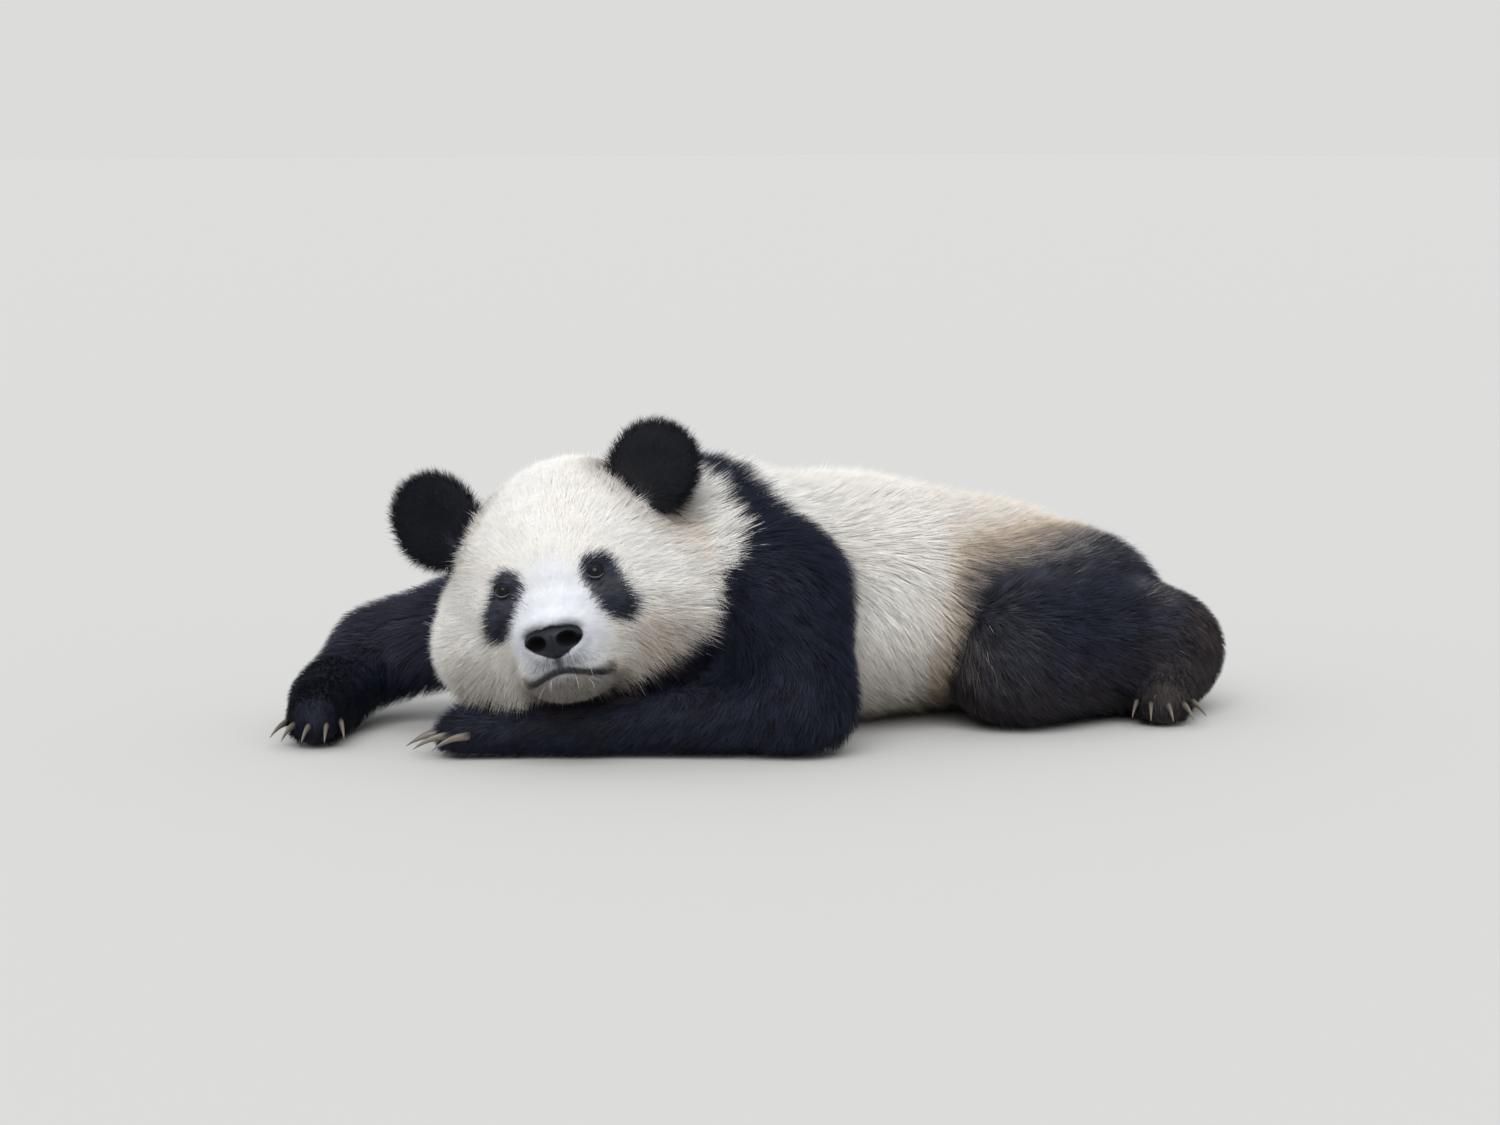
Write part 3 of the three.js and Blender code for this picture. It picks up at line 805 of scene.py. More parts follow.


# Warm stains of the white, a painted shade in the crease between the head and the ruff, and the cooler white
# of the muzzle, partly a painted bluish shade round the nose
def warmth(p, q, head, dark, patch, edge):
    y, z = p[:, 1], p[:, 2]
    near, far = warmSizes["cheeks"]
    warm = near * smoothStep(0.095, 0.02, fromOval(q, "cheek"))
    warm += far * smoothStep(0.075, 0.02, fromOval(q, "farCheek"))
    # a warm, darker line where the ruff meets the head: painted shade in the crease
    warm += warmSizes["ruff"] * bell(head - 0.008, 0.012) * (p[:, 0] > 0) * smoothStep(0.20, 0.24, z)
    warm += warmSizes["earRoots"] * smoothStep(0.05, 0.01, earForm(p)) * (head < 0.03) * (dark < 0.5)
    warm += warmSizes["hipEdge"] * bell(edge + 0.006, 0.032) * smoothStep(0.38, 0.42, y)
    warm += warmSizes["rump"] * smoothStep(0.45, 0.70, y) * (edge < 0)
    warm += warmSizes["underside"] * smoothStep(0.10, 0.02, z)
    warm += (warmSizes["back"] + warmSizes["flank"] * smoothStep(0.18, 0.08, z)) * smoothStep(0.25, 0.30, y)
    rust, uneven = warmSizes["hindFeet"]
    rust = (rust + uneven * ripple(p, 0.07, 15)) * smoothStep(0.70, 0.90, y)
    warm += rust * smoothStep(0.06, -0.02, limbsOf(2, hind)(p))
    warm += warmSizes["patchy"] * ripple(p, 0.11, 9)
    warm += warmSizes["chin"] * underChin(q, head) * smoothStep(0.09, 0.05, np.abs(q[:, 0]))
    # the muzzle's cooler, bluish white: partly a painted bluish shade round the nose
    cool = smoothStep(0.085, 0.045, fromOval(q, "muzzle")) * (q[:, 1] < -0.09)
    cool = warmSizes["coolMuzzle"] * cool * smoothStep(-0.104, -0.094, q[:, 2])
    return np.clip(warm, 0, 1) * (1 - patch) - np.maximum(cool, warmSizes["coolPatches"] * patch)


def markings(p, rough=0.0):
    q, head = toHead(p), headForm(p)
    wave = ripple(p, 0.05, 3) * 0.006 + rough * 0.004
    patch = smoothStep(0.004, -0.002, patchDistance(q) + wave * 0.35 + rough * 0.0018)
    dark, edge = bodyMarks(p, q, head, patch, wave, rough)
    dark = faceMarks(p, q, head, dark, wave, rough)
    return dark, warmth(p, q, head, dark, patch, edge)


coatColours = {
    "whiteRoot": (0.90, 0.86, 0.80), "whiteTip": (0.95, 0.93, 0.89),
    "tanRoot": (0.50, 0.38, 0.27), "tanTip": (0.70, 0.58, 0.46),
    "coolTip": (0.84, 0.88, 0.97),
    # the black's tips are lighter and bluer than its roots: a painted bluish sheen of sky light on black fur
    "blackRoot": (0.003, 0.0035, 0.006), "blackTip": (0.0145, 0.0175, 0.033),
    "rustTip": (0.050, 0.031, 0.022),
}


def coatMaterial(name, roughness, specular, grain=False):
    tree, shader = newMaterial(name, roughness, specular)
    dark, warm, along, shade = tree.look()
    colour = {key: (*value, 1) for key, value in coatColours.items()}
    toTip = (along ** 0.6).clamped()
    white = tree.mixed(toTip, colour["whiteRoot"], colour["whiteTip"])
    tan = tree.mixed(toTip, colour["tanRoot"], colour["tanTip"])
    white = tree.mixed(warm.clamped(), white, tan)
    white = tree.mixed((warm * -1.0).clamped(), white, colour["coolTip"])
    # black fur lighter and bluer towards its tips: painted bluish sheen
    black = tree.mixed(toTip, colour["blackRoot"], colour["blackTip"])
    black = tree.mixed(((warm - 0.30) * 1.2).clamped(), black, colour["rustTip"])
    mixed = tree.mixed(dark.clamped(), white, black)
    if grain:
        noise = tree.pattern("ShaderNodeTexNoise", 420.0)
        tree.feed(shader, {"Normal": tree.bump(noise, 0.35, 0.001)})
        shade = shade * (0.75 + noise * 0.5)
    tone = tree.add("ShaderNodeHueSaturation", {}, {"Color": mixed, "Value": 0.86 + shade * 0.28})
    tree.feed(shader, {"Base Color": tree.wire(tone)})
    return tree.owner


makeView(viewSizes)
print("camera, floor and light are made")


# The skin
def makeSkin(sizes):
    low = np.array(cadLow) - shift - sizes["margin"]
    high = np.array(cadHigh) - shift + sizes["margin"]
    low[2] = -0.012
    points, triangles = surfaceNet(skinForm, low, high, sizes["cell"])
    points = settled(points, skinForm)
    fineSpots = [*eyeSpots.values(), *(onHead(*spot) for spot in sizes["fineSpots"])]
    headSpots = [onHead(*sizes["headSpot"])]
    for radius, places in ((sizes["headReach"], headSpots), (sizes["fineReach"], fineSpots)):
        chosen = np.min([np.linalg.norm(points - place, axis=1) for place in places], axis=0) < radius
        points, triangles = refined(points, triangles, chosen)
        points = settled(points, skinForm, 2, 0.002)
    return points, triangles


skinPoints, skinTriangles = makeSkin(skinSizes)
skinNormals, skinAreas = normalsOf(skinPoints, skinTriangles)
coatFinish = {
    "white": coatMaterial("white coat", 0.62, 0.35),
    "black": coatMaterial("black coat", 0.60, 0.15),
}
skinFinish = coatMaterial("skin under the coat", 0.7, 0.3, grain=True)
skin = meshObject("skin", skinPoints, skinTriangles, skinFinish)
setLook(skin, *markings(skinPoints), 0.35, 0.45)
fleshNodes = [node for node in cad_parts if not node.startswith(("eye_", "nose", "claw_"))]
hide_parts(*fleshNodes)
print("skin:", len(skinTriangles), "triangles")


# An unwrap of the skin's shape, made on a coarse copy: the tufts take their places on the coat's map from it
unwrapSizes = {"cell": 0.020, "margin": 0.03, "under": 0.02, "angle": 66, "islandGap": 0.004}


def makeUnwrap(sizes):
    low = np.array(cadLow) - shift - sizes["margin"]
    high = np.array(cadHigh) - shift + sizes["margin"]
    low[2] = -sizes["under"]
    points, triangles = surfaceNet(skinForm, low, high, sizes["cell"])
    copy = meshObject("unwrap", points, triangles)
    bpy.context.view_layer.objects.active = copy
    copy.select_set(True)
    bpy.ops.object.mode_set(mode="EDIT")
    bpy.ops.mesh.select_all(action="SELECT")
    bpy.ops.uv.smart_project(angle_limit=math.radians(sizes["angle"]), island_margin=sizes["islandGap"])
    bpy.ops.object.mode_set(mode="OBJECT")
    uv = np.zeros(len(triangles) * 6, np.float32)
    copy.data.uv_layers.active.data.foreach_get("uv", uv)
    bpy.data.objects.remove(copy)
    return points, triangles, uv.reshape(-1, 3, 2)


def mapPlaces(unwrap, places):
    points, triangles, uv = unwrap
    tree = BVHTree.FromPolygons(points.tolist(), triangles.tolist())
    found = [tree.find_nearest(p) for p in places.tolist()]
    hits = np.array([f[0] for f in found])
    faces = np.array([f[2] for f in found])
    a, b, c = (points[triangles[faces, i]] for i in range(3))
    n = np.cross(b - a, c - a)
    size = np.maximum((n * n).sum(1), 1e-18)
    wa = (np.cross(c - b, hits - b) * n).sum(1) / size
    wb = (np.cross(a - c, hits - c) * n).sum(1) / size
    weights = np.stack([wa, wb, 1 - wa - wb], axis=1)
    return (uv[faces] * weights[:, :, None]).sum(1)


unwrap = makeUnwrap(unwrapSizes)
print("unwrap:", len(unwrap[1]), "triangles")

coatRegions = {
    "head": ("skull", "cheek", "forehead", "muzzle", "bridge", "eyes", "chin"), "ears": ("ear",),
    "neck": ("neck",), "trunk": ("trunk", "rump", "tail"), "forelegs": ("upper",),
    "legs": ("thigh", "forearm", "paw"),
}


# The lie of the coat: each zone is combed backwards, and more or less down and outwards
lieSizes = {
    "hang": 2.4,
    "outward": 0.15,
    "turnOut": 1.3,  # of fur that faces forward
    "rumpHang": 0.4,
    "thigh": (0.6, 1.5, 0.3, 1.2),  # backwards, down, outwards, and as it faces forward
    "tail": (0, 0.5, -0.6),
    "neck": (0.8, 0.5),  # with the back, and with the face
    "faceFrom": (0, -0.175, -0.040),  # at the nose
    "faceBack": 0.25,
    "jowlHang": (0.25, 0.12),  # how far down, and how far out it hangs in full
    "earRoot": (0.82, 0, 0.70),  # against the ear's middle
    "limbs": (("upper", 0, fore, (0, 0.5, -0.3)), ("forearm", 1, fore + hind, (0, 0.1, -0.3)),
              ("paw", 2, fore + hind, (0, 0.1, -0.3))),
    "limbBlend": 0.015,
}


def combing(p, normals, weights, lie):
    q, down = toHead(p), np.array((0, 0, -1.0))
    outward = np.sign(p[:, :1]) * (1, 0, 0)
    steep = 1 - np.abs(normals[:, 2:])
    facing = np.maximum(-normals[:, 1:2], 0) * (down + lie["turnOut"] * outward)
    back = np.array((0, 1.0, 0)) + lie["hang"] * steep * down + lie["outward"] * outward + facing
    face = unit(q - lie["faceFrom"]) + (0, lie["faceBack"], 0)
    hang, reach = lie["jowlHang"]
    face[:, 2] -= hang * np.clip(np.abs(q[:, 0]) / reach, 0, 1)
    face = face @ headTurn.T
    flows = dict.fromkeys(coatRegions["head"], face)
    withBack, withFace = lie["neck"]
    flows |= {"trunk": back, "rump": back + lie["rumpHang"] * steep * down,
              "neck": back * withBack + face * withFace, "tail": np.broadcast_to(lie["tail"], p.shape)}
    backwards, hang, out, faced = lie["thigh"]
    flows["thigh"] = np.array((0, backwards, 0)) + hang * steep * down + out * outward + faced * facing
    flows["ear"] = np.zeros_like(p)
    for side, s in sides.items():
        root = onHead(*np.multiply(bodySizes["earMiddles"][side], lie["earRoot"]))
        mine = q[:, 0] * s > 0
        flows["ear"][mine] = unit(p[mine] - root)
    for zone, part, names, more in lie["limbs"]:
        near = np.stack([legs[name]["parts"][part](p) for name in names], axis=1)
        near = np.exp(-np.clip(near / lie["limbBlend"], -3, 30))
        joints = [legs[name]["joints"] for name in names]
        axes = unit(np.array([np.subtract(j[part + 1], j[part]) for j in joints])) + more
        flows[zone] = (near @ axes) / near.sum(1, keepdims=True)
    return sum(weights[:, i, None] * flows[zone] for i, zone in enumerate(zoneNames))


tuftSizes = {
    "thin": 1.0,          # less than 1 makes fewer tufts
    "underThin": 0.6,     # how much thinner the coat is underneath
    "yaw": 0.20,          # radians that a tuft strays from the lie
    "lift": 0.12,         # how unevenly high the tips stand
    "waves": (0.045, 0.08),  # length and height of slow waves over the tips
    "wild": {"ear": 1.6, "cheek": 0.5, "tail": 1},  # how much more uneven these are
    "strays": 0.22,       # share of tufts on the body that stand out, and half of it on the skull
    "strayLift": (0.10, 0.70),
    "lengths": (0.78, 1.22),
    "widths": (0.75, 1.25),
    "atLips": (0.007, 0.4),  # nearer than this to the lips tufts are shorter, down to this share
    "settle": 0.012,      # furthest that a tip moves to stand at its height over the skin
    "clump": 0.36,        # how far tips gather into locks, and in full from this depth
    "deepCoat": 0.02,
    "lockSize": 20,       # tufts in a lock
    "thickness": 0.42,    # of a tuft, against its width
    "taper": 0.75,        # how much narrower a tuft gets along its spine
    "embed": 0.0015,
    "floorGap": (0.0012, 0.003),  # least, and more for the brighter tufts
    "eyeGap": (0.0078, (1.3, 2, 0.8)),  # no tufts within this of an eye, stretched by this
    "lipGap": (0.0014, 0.058),  # none this near the lips, out to this far across
    "patch": 0.003,       # a tuft's patch on the coat's map
    "softness": 0.82,     # how far the shading follows the body and not the tuft
    "rounding": (1.6, 0.1, 0.9),  # of the tuft's own shading: sideways, up at its edges and at its ridge
    "pieceLimit": 190000,
}
toneSizes = {
    "seenAt": 0.55,  # how far along a tuft its colour is taken
    "loose": (0.04, 0.96),  # between these, black and white tufts mix
    "mottle": (0.25, 0.42),  # share of chance in that mix, on the hips and elsewhere
    "mixed": (0.8, 0.06),  # the rest of it: how it leans, and how uneven
    "shade": (0.6, 0.2),  # range and least
    "waves": (0.03, 0.2),
    "lively": (0.25, 1.05, 0.6),  # how far locks differ: everywhere, more on the cheeks, more on the body
    "blackLively": 3.4,
    "lockTone": 0.26,
    "tuftTone": 0.22,
    "lockWarmth": 0.06,
    "cheekWarmth": 0.16,
    "earShade": 2.4,
    # painted light on the stretched foreleg: lighter, and browner so that its black reads less blue
    "paintedArmLight": (3.2, 0.40),  # lighter and browner on the stretched foreleg
    "streaks": (0.015, 0.07, 0.17),  # dirt on single tufts: body, more below, cheeks
    "specks": (0.45, 0.34),  # on the lower muzzle: how dark, and what share
}


# Even spots over the skin, at each zone's spacing, closer together where it is small
def spreadRoots(sizes):
    a, b, c = (skinPoints[skinTriangles[:, i]] for i in range(3))
    centres = skinPoints[skinTriangles].mean(axis=1)
    normals = unit(np.cross(b - a, c - a))
    density = sizes["thin"] / zoneValue(zoneWeights(centres), "spacing") ** 2
    density *= 1 - sizes["underThin"] * smoothStep(-0.35, -0.85, normals[:, 2])
    density[(centres[:, 2] < skinSizes["rest"] + 0.004) & (normals[:, 2] < -0.6)] = 0
    density[noseForm(centres) < -0.0005] = 0
    q = toHead(centres)
    gap, stretch = sizes["eyeGap"]
    for spot in eyeSpots.values():
        density[np.linalg.norm((q - toHead(spot[None])) / stretch, axis=1) < gap] = 0
    gap, across = sizes["lipGap"]
    inMouth = np.abs(q[:, 2] - mouthHeight(q[:, 0])) < gap
    density[inMouth & (np.abs(q[:, 0]) < across) & (q[:, 1] < -0.105)] = 0
    running = np.cumsum(skinAreas * density)
    picks = np.searchsorted(running, np.arange(int(running[-1])) + rng.uniform(0, 1, int(running[-1])))
    picks = np.minimum(picks, len(skinTriangles) - 1)
    u, v = rng.uniform(0, 1, (2, len(picks)))
    over = u + v > 1
    u[over], v[over] = 1 - u[over], 1 - v[over]
    bary = np.stack([1 - u - v, u, v], axis=1)[:, :, None]
    corners = skinTriangles[picks]
    return (skinPoints[corners] * bary).sum(1), unit((skinNormals[corners] * bary).sum(1))


def nearestSeeds(places, lockSize):
    seeds = rng.choice(len(places), len(places) // lockSize, replace=False)
    tree = KDTree(len(seeds))
    for i, place in enumerate(places[seeds].tolist()):
        tree.insert(place, i)
    tree.balance()
    return seeds[[tree.find(place)[1] for place in places.tolist()]]


def growCoat(sizes, tones):
    roots, normals = spreadRoots(sizes)
    count = len(roots)
    x, y, z = roots.T
    weights = zoneWeights(roots)
    on = dict(zip(zoneNames, weights.T))
    onBody = on["trunk"] + on["rump"] + on["neck"]
    depth, length, width = (zoneValue(weights, column) for column in ("depth", "length", "width"))
    flow = combing(roots, normals, weights, lieSizes)
    flow = unit(flow - (flow * normals).sum(1, keepdims=True) * normals)
    side = np.cross(flow, normals)
    wild = 1 + sum(more * on[zone] for zone, more in sizes["wild"].items())
    yaw = (rng.normal(0, sizes["yaw"], count) * wild)[:, None]
    flow, side = flow * np.cos(yaw) + side * np.sin(yaw), side * np.cos(yaw) - flow * np.sin(yaw)
    reach, high = sizes["waves"]
    lift = 1 + rng.normal(0, sizes["lift"], count) * wild + ripple(roots, reach, 21) * high
    stray = rng.uniform(0, 1, count) < sizes["strays"] * (onBody + 0.5 * on["skull"])
    lift += stray * rng.uniform(*sizes["strayLift"], count)
    length = length * rng.uniform(*sizes["lengths"], count)
    q = toHead(roots)
    fromLips = np.abs(q[:, 2] - mouthHeight(q[:, 0])) + 0.2 * ((q[:, 1] > -0.10) | (np.abs(q[:, 0]) > 0.062))
    reach, least = sizes["atLips"]
    length *= np.clip(fromLips / reach, least, 1)
    width = width * rng.uniform(*sizes["widths"], count)
    run = np.sqrt(np.maximum(length ** 2 - depth ** 2, (0.5 * length) ** 2))

    # How dark, warm and bright each tuft is
    rough = rng.normal(0, 1, count)
    seen = roots + flow * (run * tones["seenAt"])[:, None]
    dark, warm = markings(seen - normals * skinForm(seen)[:, None], rough)
    least, most = tones["loose"]
    loose = (dark > least) & (dark < most) & (q[:, 1] > -0.02)
    pick = np.where(y > 0.40, *tones["mottle"])
    lean, uneven = tones["mixed"]
    mix = pick * (rng.uniform(0, 1, count) < dark) + (1 - pick) * dark ** lean + rng.normal(0, uneven, count)
    dark = np.clip(np.where(loose, mix, dark), 0, 1)
    seeds = nearestSeeds(roots, sizes["lockSize"])
    lockTone, lockWarmth = rng.normal(0, 1, (2, count))[:, seeds]
    everywhere, cheeks, body = tones["lively"]
    lively = everywhere + cheeks * on["cheek"] + body * onBody
    (spread, least), (reach, high) = tones["shade"], tones["waves"]
    shade = rng.uniform(0, 1, count) * spread + least + ripple(roots, reach, 31) * high
    shade -= tones["earShade"] * on["ear"]
    strands = lively + tones["blackLively"] * (dark > 0.9) * (1 - on["ear"])
    shade += strands * (tones["lockTone"] * lockTone + rng.normal(0, tones["tuftTone"], count))
    # Painted light on the stretched right foreleg: its black made lighter and browner
    paintedArmLit = smoothStep(-0.20, -0.30, x) * smoothStep(0.05, 0.10, z) * (y < 0.4)
    shade += tones["paintedArmLight"][0] * paintedArmLit
    warm = np.where(paintedArmLit > 0, np.maximum(warm, tones["paintedArmLight"][1] * paintedArmLit), warm)
    warm += lively * (tones["lockWarmth"] * lockWarmth
                      + tones["cheekWarmth"] * rng.normal(0, 1, count) * on["cheek"])
    body, low, cheeks = tones["streaks"]
    streak = (body + low * smoothStep(0.20, 0.08, z)) * onBody + cheeks * on["cheek"]
    dark = dark + (dark < 0.5) * streak * np.abs(rng.normal(0, 1, count))
    tone, share = tones["specks"]
    speck = on["muzzle"] * smoothStep(-0.060, -0.078, q[:, 2]) * (dark < 0.5)
    dark = np.clip(dark + tone * speck * (rng.uniform(0, 1, count) < share), 0, 1)

    height = depth * lift
    tips = roots + flow * run[:, None] + normals * height[:, None]
    tips = tips + normals * np.clip(height - skinForm(tips), -sizes["settle"], sizes["settle"])[:, None]
    gather = sizes["clump"] * np.clip(depth / sizes["deepCoat"], 0.25, 1)
    tips = tips + (tips[seeds] - tips) * gather[:, None]
    least, more = sizes["floorGap"]
    tips[:, 2] = np.maximum(tips[:, 2], least + more * np.clip(shade, 0, 1))
    spine = [roots - normals * sizes["embed"], tips]
    mapped = mapPlaces(unwrap, roots)

    strongest = np.array(zoneNames)[weights.argmax(axis=1)]
    total = 0
    for colour, chosen in (("white", dark < 0.5), ("black", dark >= 0.5)):
        for region, zones in coatRegions.items():
            mine = np.flatnonzero(chosen & np.isin(strongest, zones))
            mine = mine[np.argsort(y[mine], kind="stable")]
            parts = 4 * np.arange(1, len(mine) + 1) // sizes["pieceLimit"]  # a tuft has 4 triangles
            for part in np.unique(parts):
                name = f"coat_{colour}_{region}_{part + 1}"
                total += makeTufts(name, mine[parts == part], spine, side, normals, width, mapped,
                                   (dark, warm, shade), colour, sizes)
    print("coat:", count, "tufts,", total, "triangles")


# Tufts of three faces that run to a tip, along a spine of two or more places
def makeTufts(name, chosen, spine, side, normals, width, mapped, looks, colour, sizes):
    n, s, w = normals[chosen], side[chosen], width[chosen]
    axis = [places[chosen] for places in spine]
    segments = len(axis) - 1
    places, bends, steps = [], [], []
    sideways, edge, ridge = sizes["rounding"]
    for k in range(segments):
        ahead = unit(axis[k + 1] - axis[max(k - 1, 0)])
        across = unit(s - (s * ahead).sum(1, keepdims=True) * ahead)
        up = np.cross(across, ahead)
        wide = (w * (1 - (k / segments) ** 2 * sizes["taper"]))[:, None]
        for x, z in ((-0.5, 0), (0.5, 0), (0, sizes["thickness"])):
            places.append(axis[k] + across * wide * x + up * wide * z)
            lean = across * x * sideways + up * (ridge if z else edge)
            bends.append(unit(n * sizes["softness"] + lean * (1 - sizes["softness"])))
            steps.append((x + 0.5, k / segments))
    places.append(axis[segments])
    bends.append(n)
    steps.append((0.5, 1.0))
    size, number = len(places), len(chosen)
    faces = [(0, 1, 2)]
    for k in range(segments):
        for c in range(3):
            a, b = 3 * k + c, 3 * k + (c + 1) % 3
            if k == segments - 1:
                faces.append((a, size - 1, b))
            else:
                faces += [(a, a + 3, b + 3), (a, b + 3, b)]
    triangles = (np.arange(number)[:, None, None] * size + np.array(faces)).reshape(-1, 3)
    steps = np.array(steps)
    spots = (mapped[chosen][:, None, :] + (steps[None] - 0.5) * sizes["patch"]).reshape(-1, 2)
    dark, warm, shade = (np.repeat(values[chosen], size) for values in looks)
    piece = meshObject(name, np.stack(places, axis=1).reshape(-1, 3), triangles, coatFinish[colour])
    setLook(piece, dark, warm, np.tile(steps[:, 1], number), shade)
    layer = piece.data.uv_layers.new(name="OFBake")
    layer.data.foreach_set("uv", spots[triangles.ravel()].astype(np.float32).ravel())
    bends = np.stack(bends, axis=1).reshape(-1, 3).astype(np.float32)
    piece.data.normals_split_custom_set_from_vertices(bends)
    colour + "_coat"
    return len(triangles)


growCoat(tuftSizes, toneSizes)

# Whiskers: a few long pale hairs on the muzzle, the chin and the brows
whiskerSizes = {"length": (0.012, 0.030), "width": 0.00032, "droop": 0.30, "bendAt": 0.55, "outward": 0.7,
                "stray": 0.14, "shade": 0.8}
whiskerBeds = (  # how many on each side, their middle across and up the face, and their spread
    (6, (0.046, -0.074), (0.008, 0.008)), (3, (0.030, -0.118), (0.016, 0.008)),
    (2, (0.052, 0.052), (0.008, 0.005)),
)


def makeWhiskers(sizes):
    spots = []
    for number, middle, spread in whiskerBeds:
        for s in (1, -1):
            for across, up in rng.normal(0, 1, (number, 2)) * spread + middle:
                spots.append(onHead(s * across, -0.16, up))
    roots = settled(np.array(spots), skinForm, 12, 0.02)
    count = len(roots)
    normals = unit(roots - onHead(0, -0.04, -0.03))
    ahead = unit(toHead(roots) * (1, 0, 0.4) + (0, -0.03, 0)) @ headTurn.T
    ahead = unit(ahead + sizes["outward"] * normals + rng.normal(0, sizes["stray"], roots.shape))
    length = rng.uniform(*sizes["length"], count)[:, None]
    tips = roots + ahead * length + np.array((0, 0, -1)) * length * sizes["droop"]
    spine = [roots, roots + ahead * length * sizes["bendAt"], tips]
    side = unit(np.cross(ahead, (0, 0, 1)))
    looks = (np.zeros(count), np.zeros(count), np.full(count, sizes["shade"]))
    made = makeTufts("whiskers", np.arange(count), spine, side, normals, np.full(count, sizes["width"]),
                     mapPlaces(unwrap, roots), looks, "white", tuftSizes)
    print("whiskers:", made, "triangles")


makeWhiskers(whiskerSizes)


# Rings of faces from one end to the other, closed at each end round one point
def tubeFaces(rings, columns, first, start, end):
    faces = []
    for i in range(rings - 1):
        for j in range(columns):
            a, b = first + i * columns + j, first + i * columns + (j + 1) % columns
            faces += [(a, b, b + columns), (a, b + columns, a + columns)]
    last = (rings - 1) * columns
    for j in range(columns):
        a, b = first + j, first + (j + 1) % columns
        faces += [(start, b, a), (end, last + a, last + b)]
    return faces


def fixNormals(piece):
    made = bmesh.new()
    made.from_mesh(piece.data)
    bmesh.ops.recalc_face_normals(made, faces=made.faces)
    made.to_mesh(piece.data)
    made.free()


# Eyes: a ball with its iris, set deep behind lids
eyeSizes = {
    "radius": 0.0120,
    "sunk": 0.0125,
    "gaze": (0.30, -1.0, -0.12),  # outwards, back and up
    "cornea": (0.05, 0.45),  # how far it bulges, and over how many radians
    "rows": 24,
    "columns": 40,
}
lidSizes = {
    "out": 54, "up": 29, "down": 25, "slant": 3,  # half the opening, in degrees
    "thickness": 0.0008,
    "gap": 0.0002,
    "inside": 0.0012,
    "columns": 48,
    # how far back from the opening's edge, in radians, and how high over the ball
    "steps": ((0.000, 0.0002), (0.0, 0.6), (0.04, 1.0), (0.16, 1.15), (0.45, 1.1), (0.85, 0.9)),
}


def makeEye(side, s, eye, lids):
    centre = eyeSpots[side] + headBack * eye["sunk"]
    out, back, up = eye["gaze"]
    gaze = unit(headTurn @ np.array((s * out, back, up)))
    right = -unit(np.cross(gaze, (0, 0, 1)))
    up = np.cross(gaze, right)
    rows, columns = eye["rows"], eye["columns"]
    bulge, spread = eye["cornea"]
    points, look = [centre + gaze * eye["radius"] * (1 + bulge)], [1.0]
    for i in range(1, rows):
        angle = math.pi * i / rows
        radius = eye["radius"] * (1 + bulge * math.exp(-(angle / spread) ** 2))
        for j in range(columns):
            turn = 2 * math.pi * j / columns
            way = gaze * math.cos(angle) + (right * math.cos(turn) + up * math.sin(turn)) * math.sin(angle)
            points.append(centre + way * radius)
            look.append(math.cos(angle))
    points.append(centre - gaze * eye["radius"])
    look.append(-1.0)
    faces = tubeFaces(rows - 1, columns, 1, 0, len(points) - 1)
    ball = meshObject("eye_" + side, np.array(points), faces, eyeFinish)
    setLook(ball, look, 0, 0, 0)
    fixNormals(ball)
    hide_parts("eye_" + side)

    # A lid is a thin shell round the ball, from the almond-shaped opening back under the skin
    columns, steps = lids["columns"], lids["steps"]
    shell = []
    for back, rise in steps:
        for j in range(columns):
            turn = 2 * math.pi * j / columns
            c, d = math.cos(turn), math.sin(turn)
            lift = math.radians(lids["up" if d > 0 else "down"]) * d * (1 - 0.25 * c * c)
            x = (math.radians(lids["out"]) + back) * c
            z = lift + math.radians(lids["slant"]) * s * c + back * d
            angle = math.hypot(x, z)
            way = unit(gaze * math.cos(angle) + (right * x + up * z) * math.sin(angle) / angle)
            shell.append(centre + way * (eye["radius"] + lids["gap"] + lids["thickness"] * rise))
    for k in range(len(steps) - 2, 0, -1):
        inner = np.array(shell[k * columns:(k + 1) * columns]) - centre
        shell += list(centre + unit(inner) * (eye["radius"] - lids["inside"]))
    rings = len(steps) * 2 - 2
    around = np.arange(rings * columns).reshape(rings, columns)
    ahead, beside = np.roll(around, -1, axis=0), np.roll(around, -1, axis=1)
    faces = np.stack([around, ahead, np.roll(ahead, -1, axis=1), beside], axis=-1).reshape(-1, 4)
    lid = meshObject("eyelids_" + side, np.array(shell), faces, lidFinish)
    # The lower half of the opening's edge is marked lighter: a painted highlight on the lower lid's rim
    turns = 2 * math.pi * (np.arange(len(shell)) % columns) / columns
    rim = np.arange(len(shell)) < 3 * columns
    setLook(lid, np.clip(-np.sin(turns), 0, 1) * rim, 0, 0, 0)
    fixNormals(lid)


irisStops = (  # from the ball's side to the middle of its pupil
    (0.0, (0.010, 0.008, 0.008, 1)), (0.60, (0.008, 0.006, 0.006, 1)), (0.66, (0.003, 0.002, 0.002, 1)),
    (0.78, (0.007, 0.004, 0.003, 1)), (0.90, (0.004, 0.002, 0.001, 1)), (0.93, (0.001, 0.001, 0.001, 1)),
)


def eyeMaterial():
    tree, shader = newMaterial("eye", 0.06, 0.22)
    ramp = tree.add("ShaderNodeValToRGB", {"stops": irisStops}, {0: tree.look()[0]})
    tree.feed(shader, {"Base Color": tree.wire(ramp)})
    return tree.owner


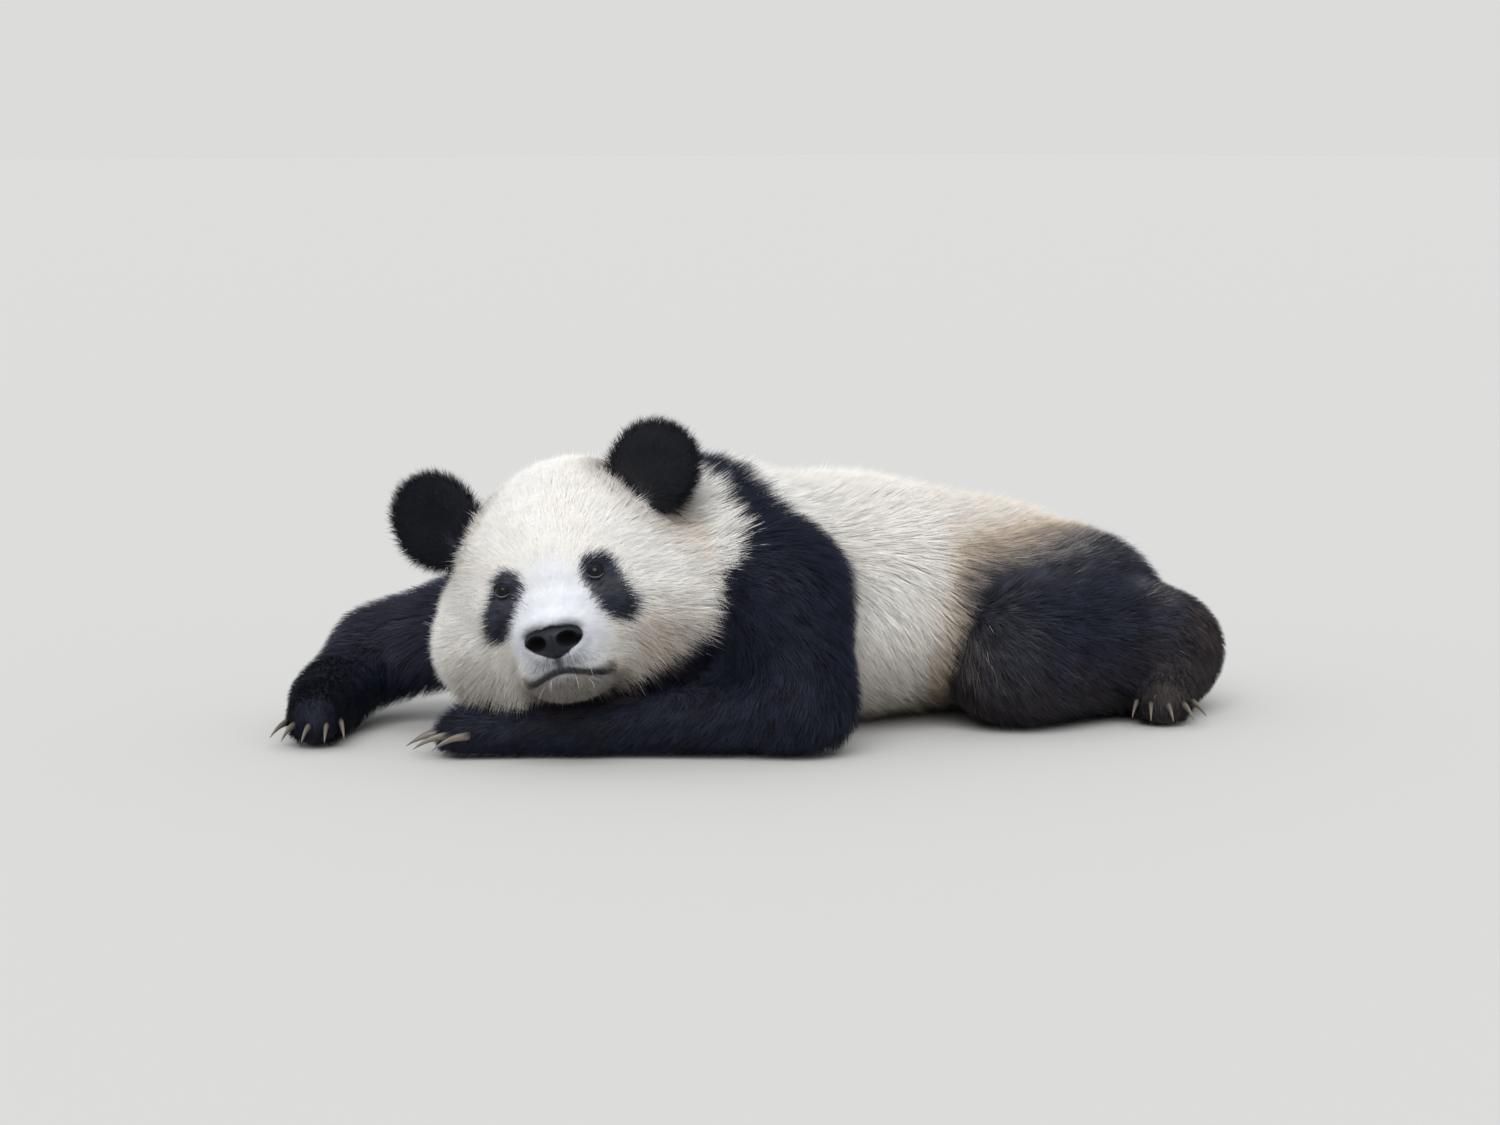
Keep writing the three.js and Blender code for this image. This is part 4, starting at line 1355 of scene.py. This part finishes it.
# Bare hide and horn: pebbled, uneven in tone, and another colour where the look's first column says
def hideMaterial(name, colour, roughness, specular, scale, strength, rim=None, matt=False):
    tree, shader = newMaterial(name, roughness, specular)
    cells = tree.pattern("ShaderNodeTexVoronoi", scale)
    noise = tree.pattern("ShaderNodeTexNoise", scale * 0.2)
    tone = tree.mixed(noise, tuple(c * 0.7 for c in colour) + (1,), tuple(c * 1.4 for c in colour) + (1,))
    if rim:
        mask = tree.look()[0]
        tone = tree.mixed(mask, tone, (*rim, 1))
        if matt:
            tree.feed(shader, {"Roughness": mask * (1 - roughness) + roughness})
    tree.feed(shader, {"Base Color": tone, "Normal": tree.bump(cells, strength, 0.0006)})
    return tree.owner


eyeFinish = eyeMaterial()
# the lids' lower rim is lighter: a painted highlight along the rim
lidFinish = hideMaterial("eyelid", (0.008, 0.009, 0.014), 0.60, 0.12, 900.0, 0.3, (0.10, 0.11, 0.14))
# inside the nostrils the leather is near black and matt: painted shade in the deep holes
noseFinish = hideMaterial("nose leather", (0.007, 0.009, 0.015), 0.38, 0.22, 700.0, 0.5,
                          (0.0003, 0.0003, 0.0004), matt=True)
for side, s in sides.items():
    makeEye(side, s, eyeSizes, lidSizes)
print("eyes and lids are made")


def makeNose(sizes):
    middle = onHead(*bodySizes["nose"])
    points, triangles = surfaceNet(noseForm, middle - sizes["reach"], middle + sizes["reach"], sizes["cell"])
    points = settled(points, noseForm, 2, 0.0006)
    nose = meshObject("nose_leather", points, triangles, noseFinish)
    # the nostrils' insides are marked for the near black: painted shade
    setLook(nose, smoothStep(0.0022, 0.0002, nostrils(points)), 0, 0, 0)
    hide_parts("nose")


makeNose(noseSizes)
print("nose is made")

# Claws: tapered, bent down, side to side narrower than deep
clawSizes = {
    "perPaw": 5,
    "length": 0.040,
    "radius": 0.0058,
    "narrow": 0.72,  # width against depth
    "taper": 0.62,
    "tip": 0.0004,
    "bend": 0.32,
    "height": 0.025,
    "spread": 0.034,
    "fan": 0.35,
    "rootIn": (0.012, 0.2),  # how deep in the paw, and this share of the length more
    "searchFrom": 0.14,  # ahead of the toe, back to the paw
    "rows": 11,
    "columns": 14,
}


def makeClaws(legName, leg, sizes):
    paw, toe = leg["parts"][2], np.array(leg["joints"][3])
    ahead = unit(np.array(leg["claws"]))
    across = unit(np.cross((0, 0, 1), ahead))
    rows, columns, length = sizes["rows"], sizes["columns"], sizes["length"]
    rootIn, share = sizes["rootIn"]
    points, faces = [], []
    for fan in np.linspace(-1, 1, sizes["perPaw"]):
        out = unit(ahead - across * sizes["fan"] * fan)
        start = toe - across * fan * sizes["spread"] + out * sizes["searchFrom"]
        start[2] = sizes["height"]
        root = walkTo(paw, start, -out, length * share + rootIn)
        aside = unit(np.cross(out, (0, 0, 1)))
        over = np.cross(aside, out)
        first = len(points)
        for k in range(rows):
            t = k / (rows - 1)
            along = t * (length + rootIn)
            drop = max(along - rootIn, 0) / length
            middle = root + out * along - over * sizes["bend"] * length * drop ** 2
            radius = sizes["tip"] if t == 1 else sizes["radius"] * (1 - t) ** sizes["taper"]
            for j in range(columns):
                turn = 2 * math.pi * j / columns
                way = aside * math.cos(turn) * sizes["narrow"] + over * math.sin(turn)
                points.append(middle + way * radius)
        points += [root, middle + out * sizes["tip"]]
        faces += tubeFaces(rows, columns, first, len(points) - 2, len(points) - 1)
    claws = meshObject("claws_" + legName, np.array(points), faces, clawFinish)
    fixNormals(claws)
    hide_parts(*(f"claw_{legName}_{i + 1}" for i in range(sizes["perPaw"])))


clawFinish = hideMaterial("claw horn", (0.13, 0.11, 0.09), 0.38, 0.5, 260.0, 0.15)
for legName, leg in legs.items():
    makeClaws(legName, leg, clawSizes)
print("claws are made")
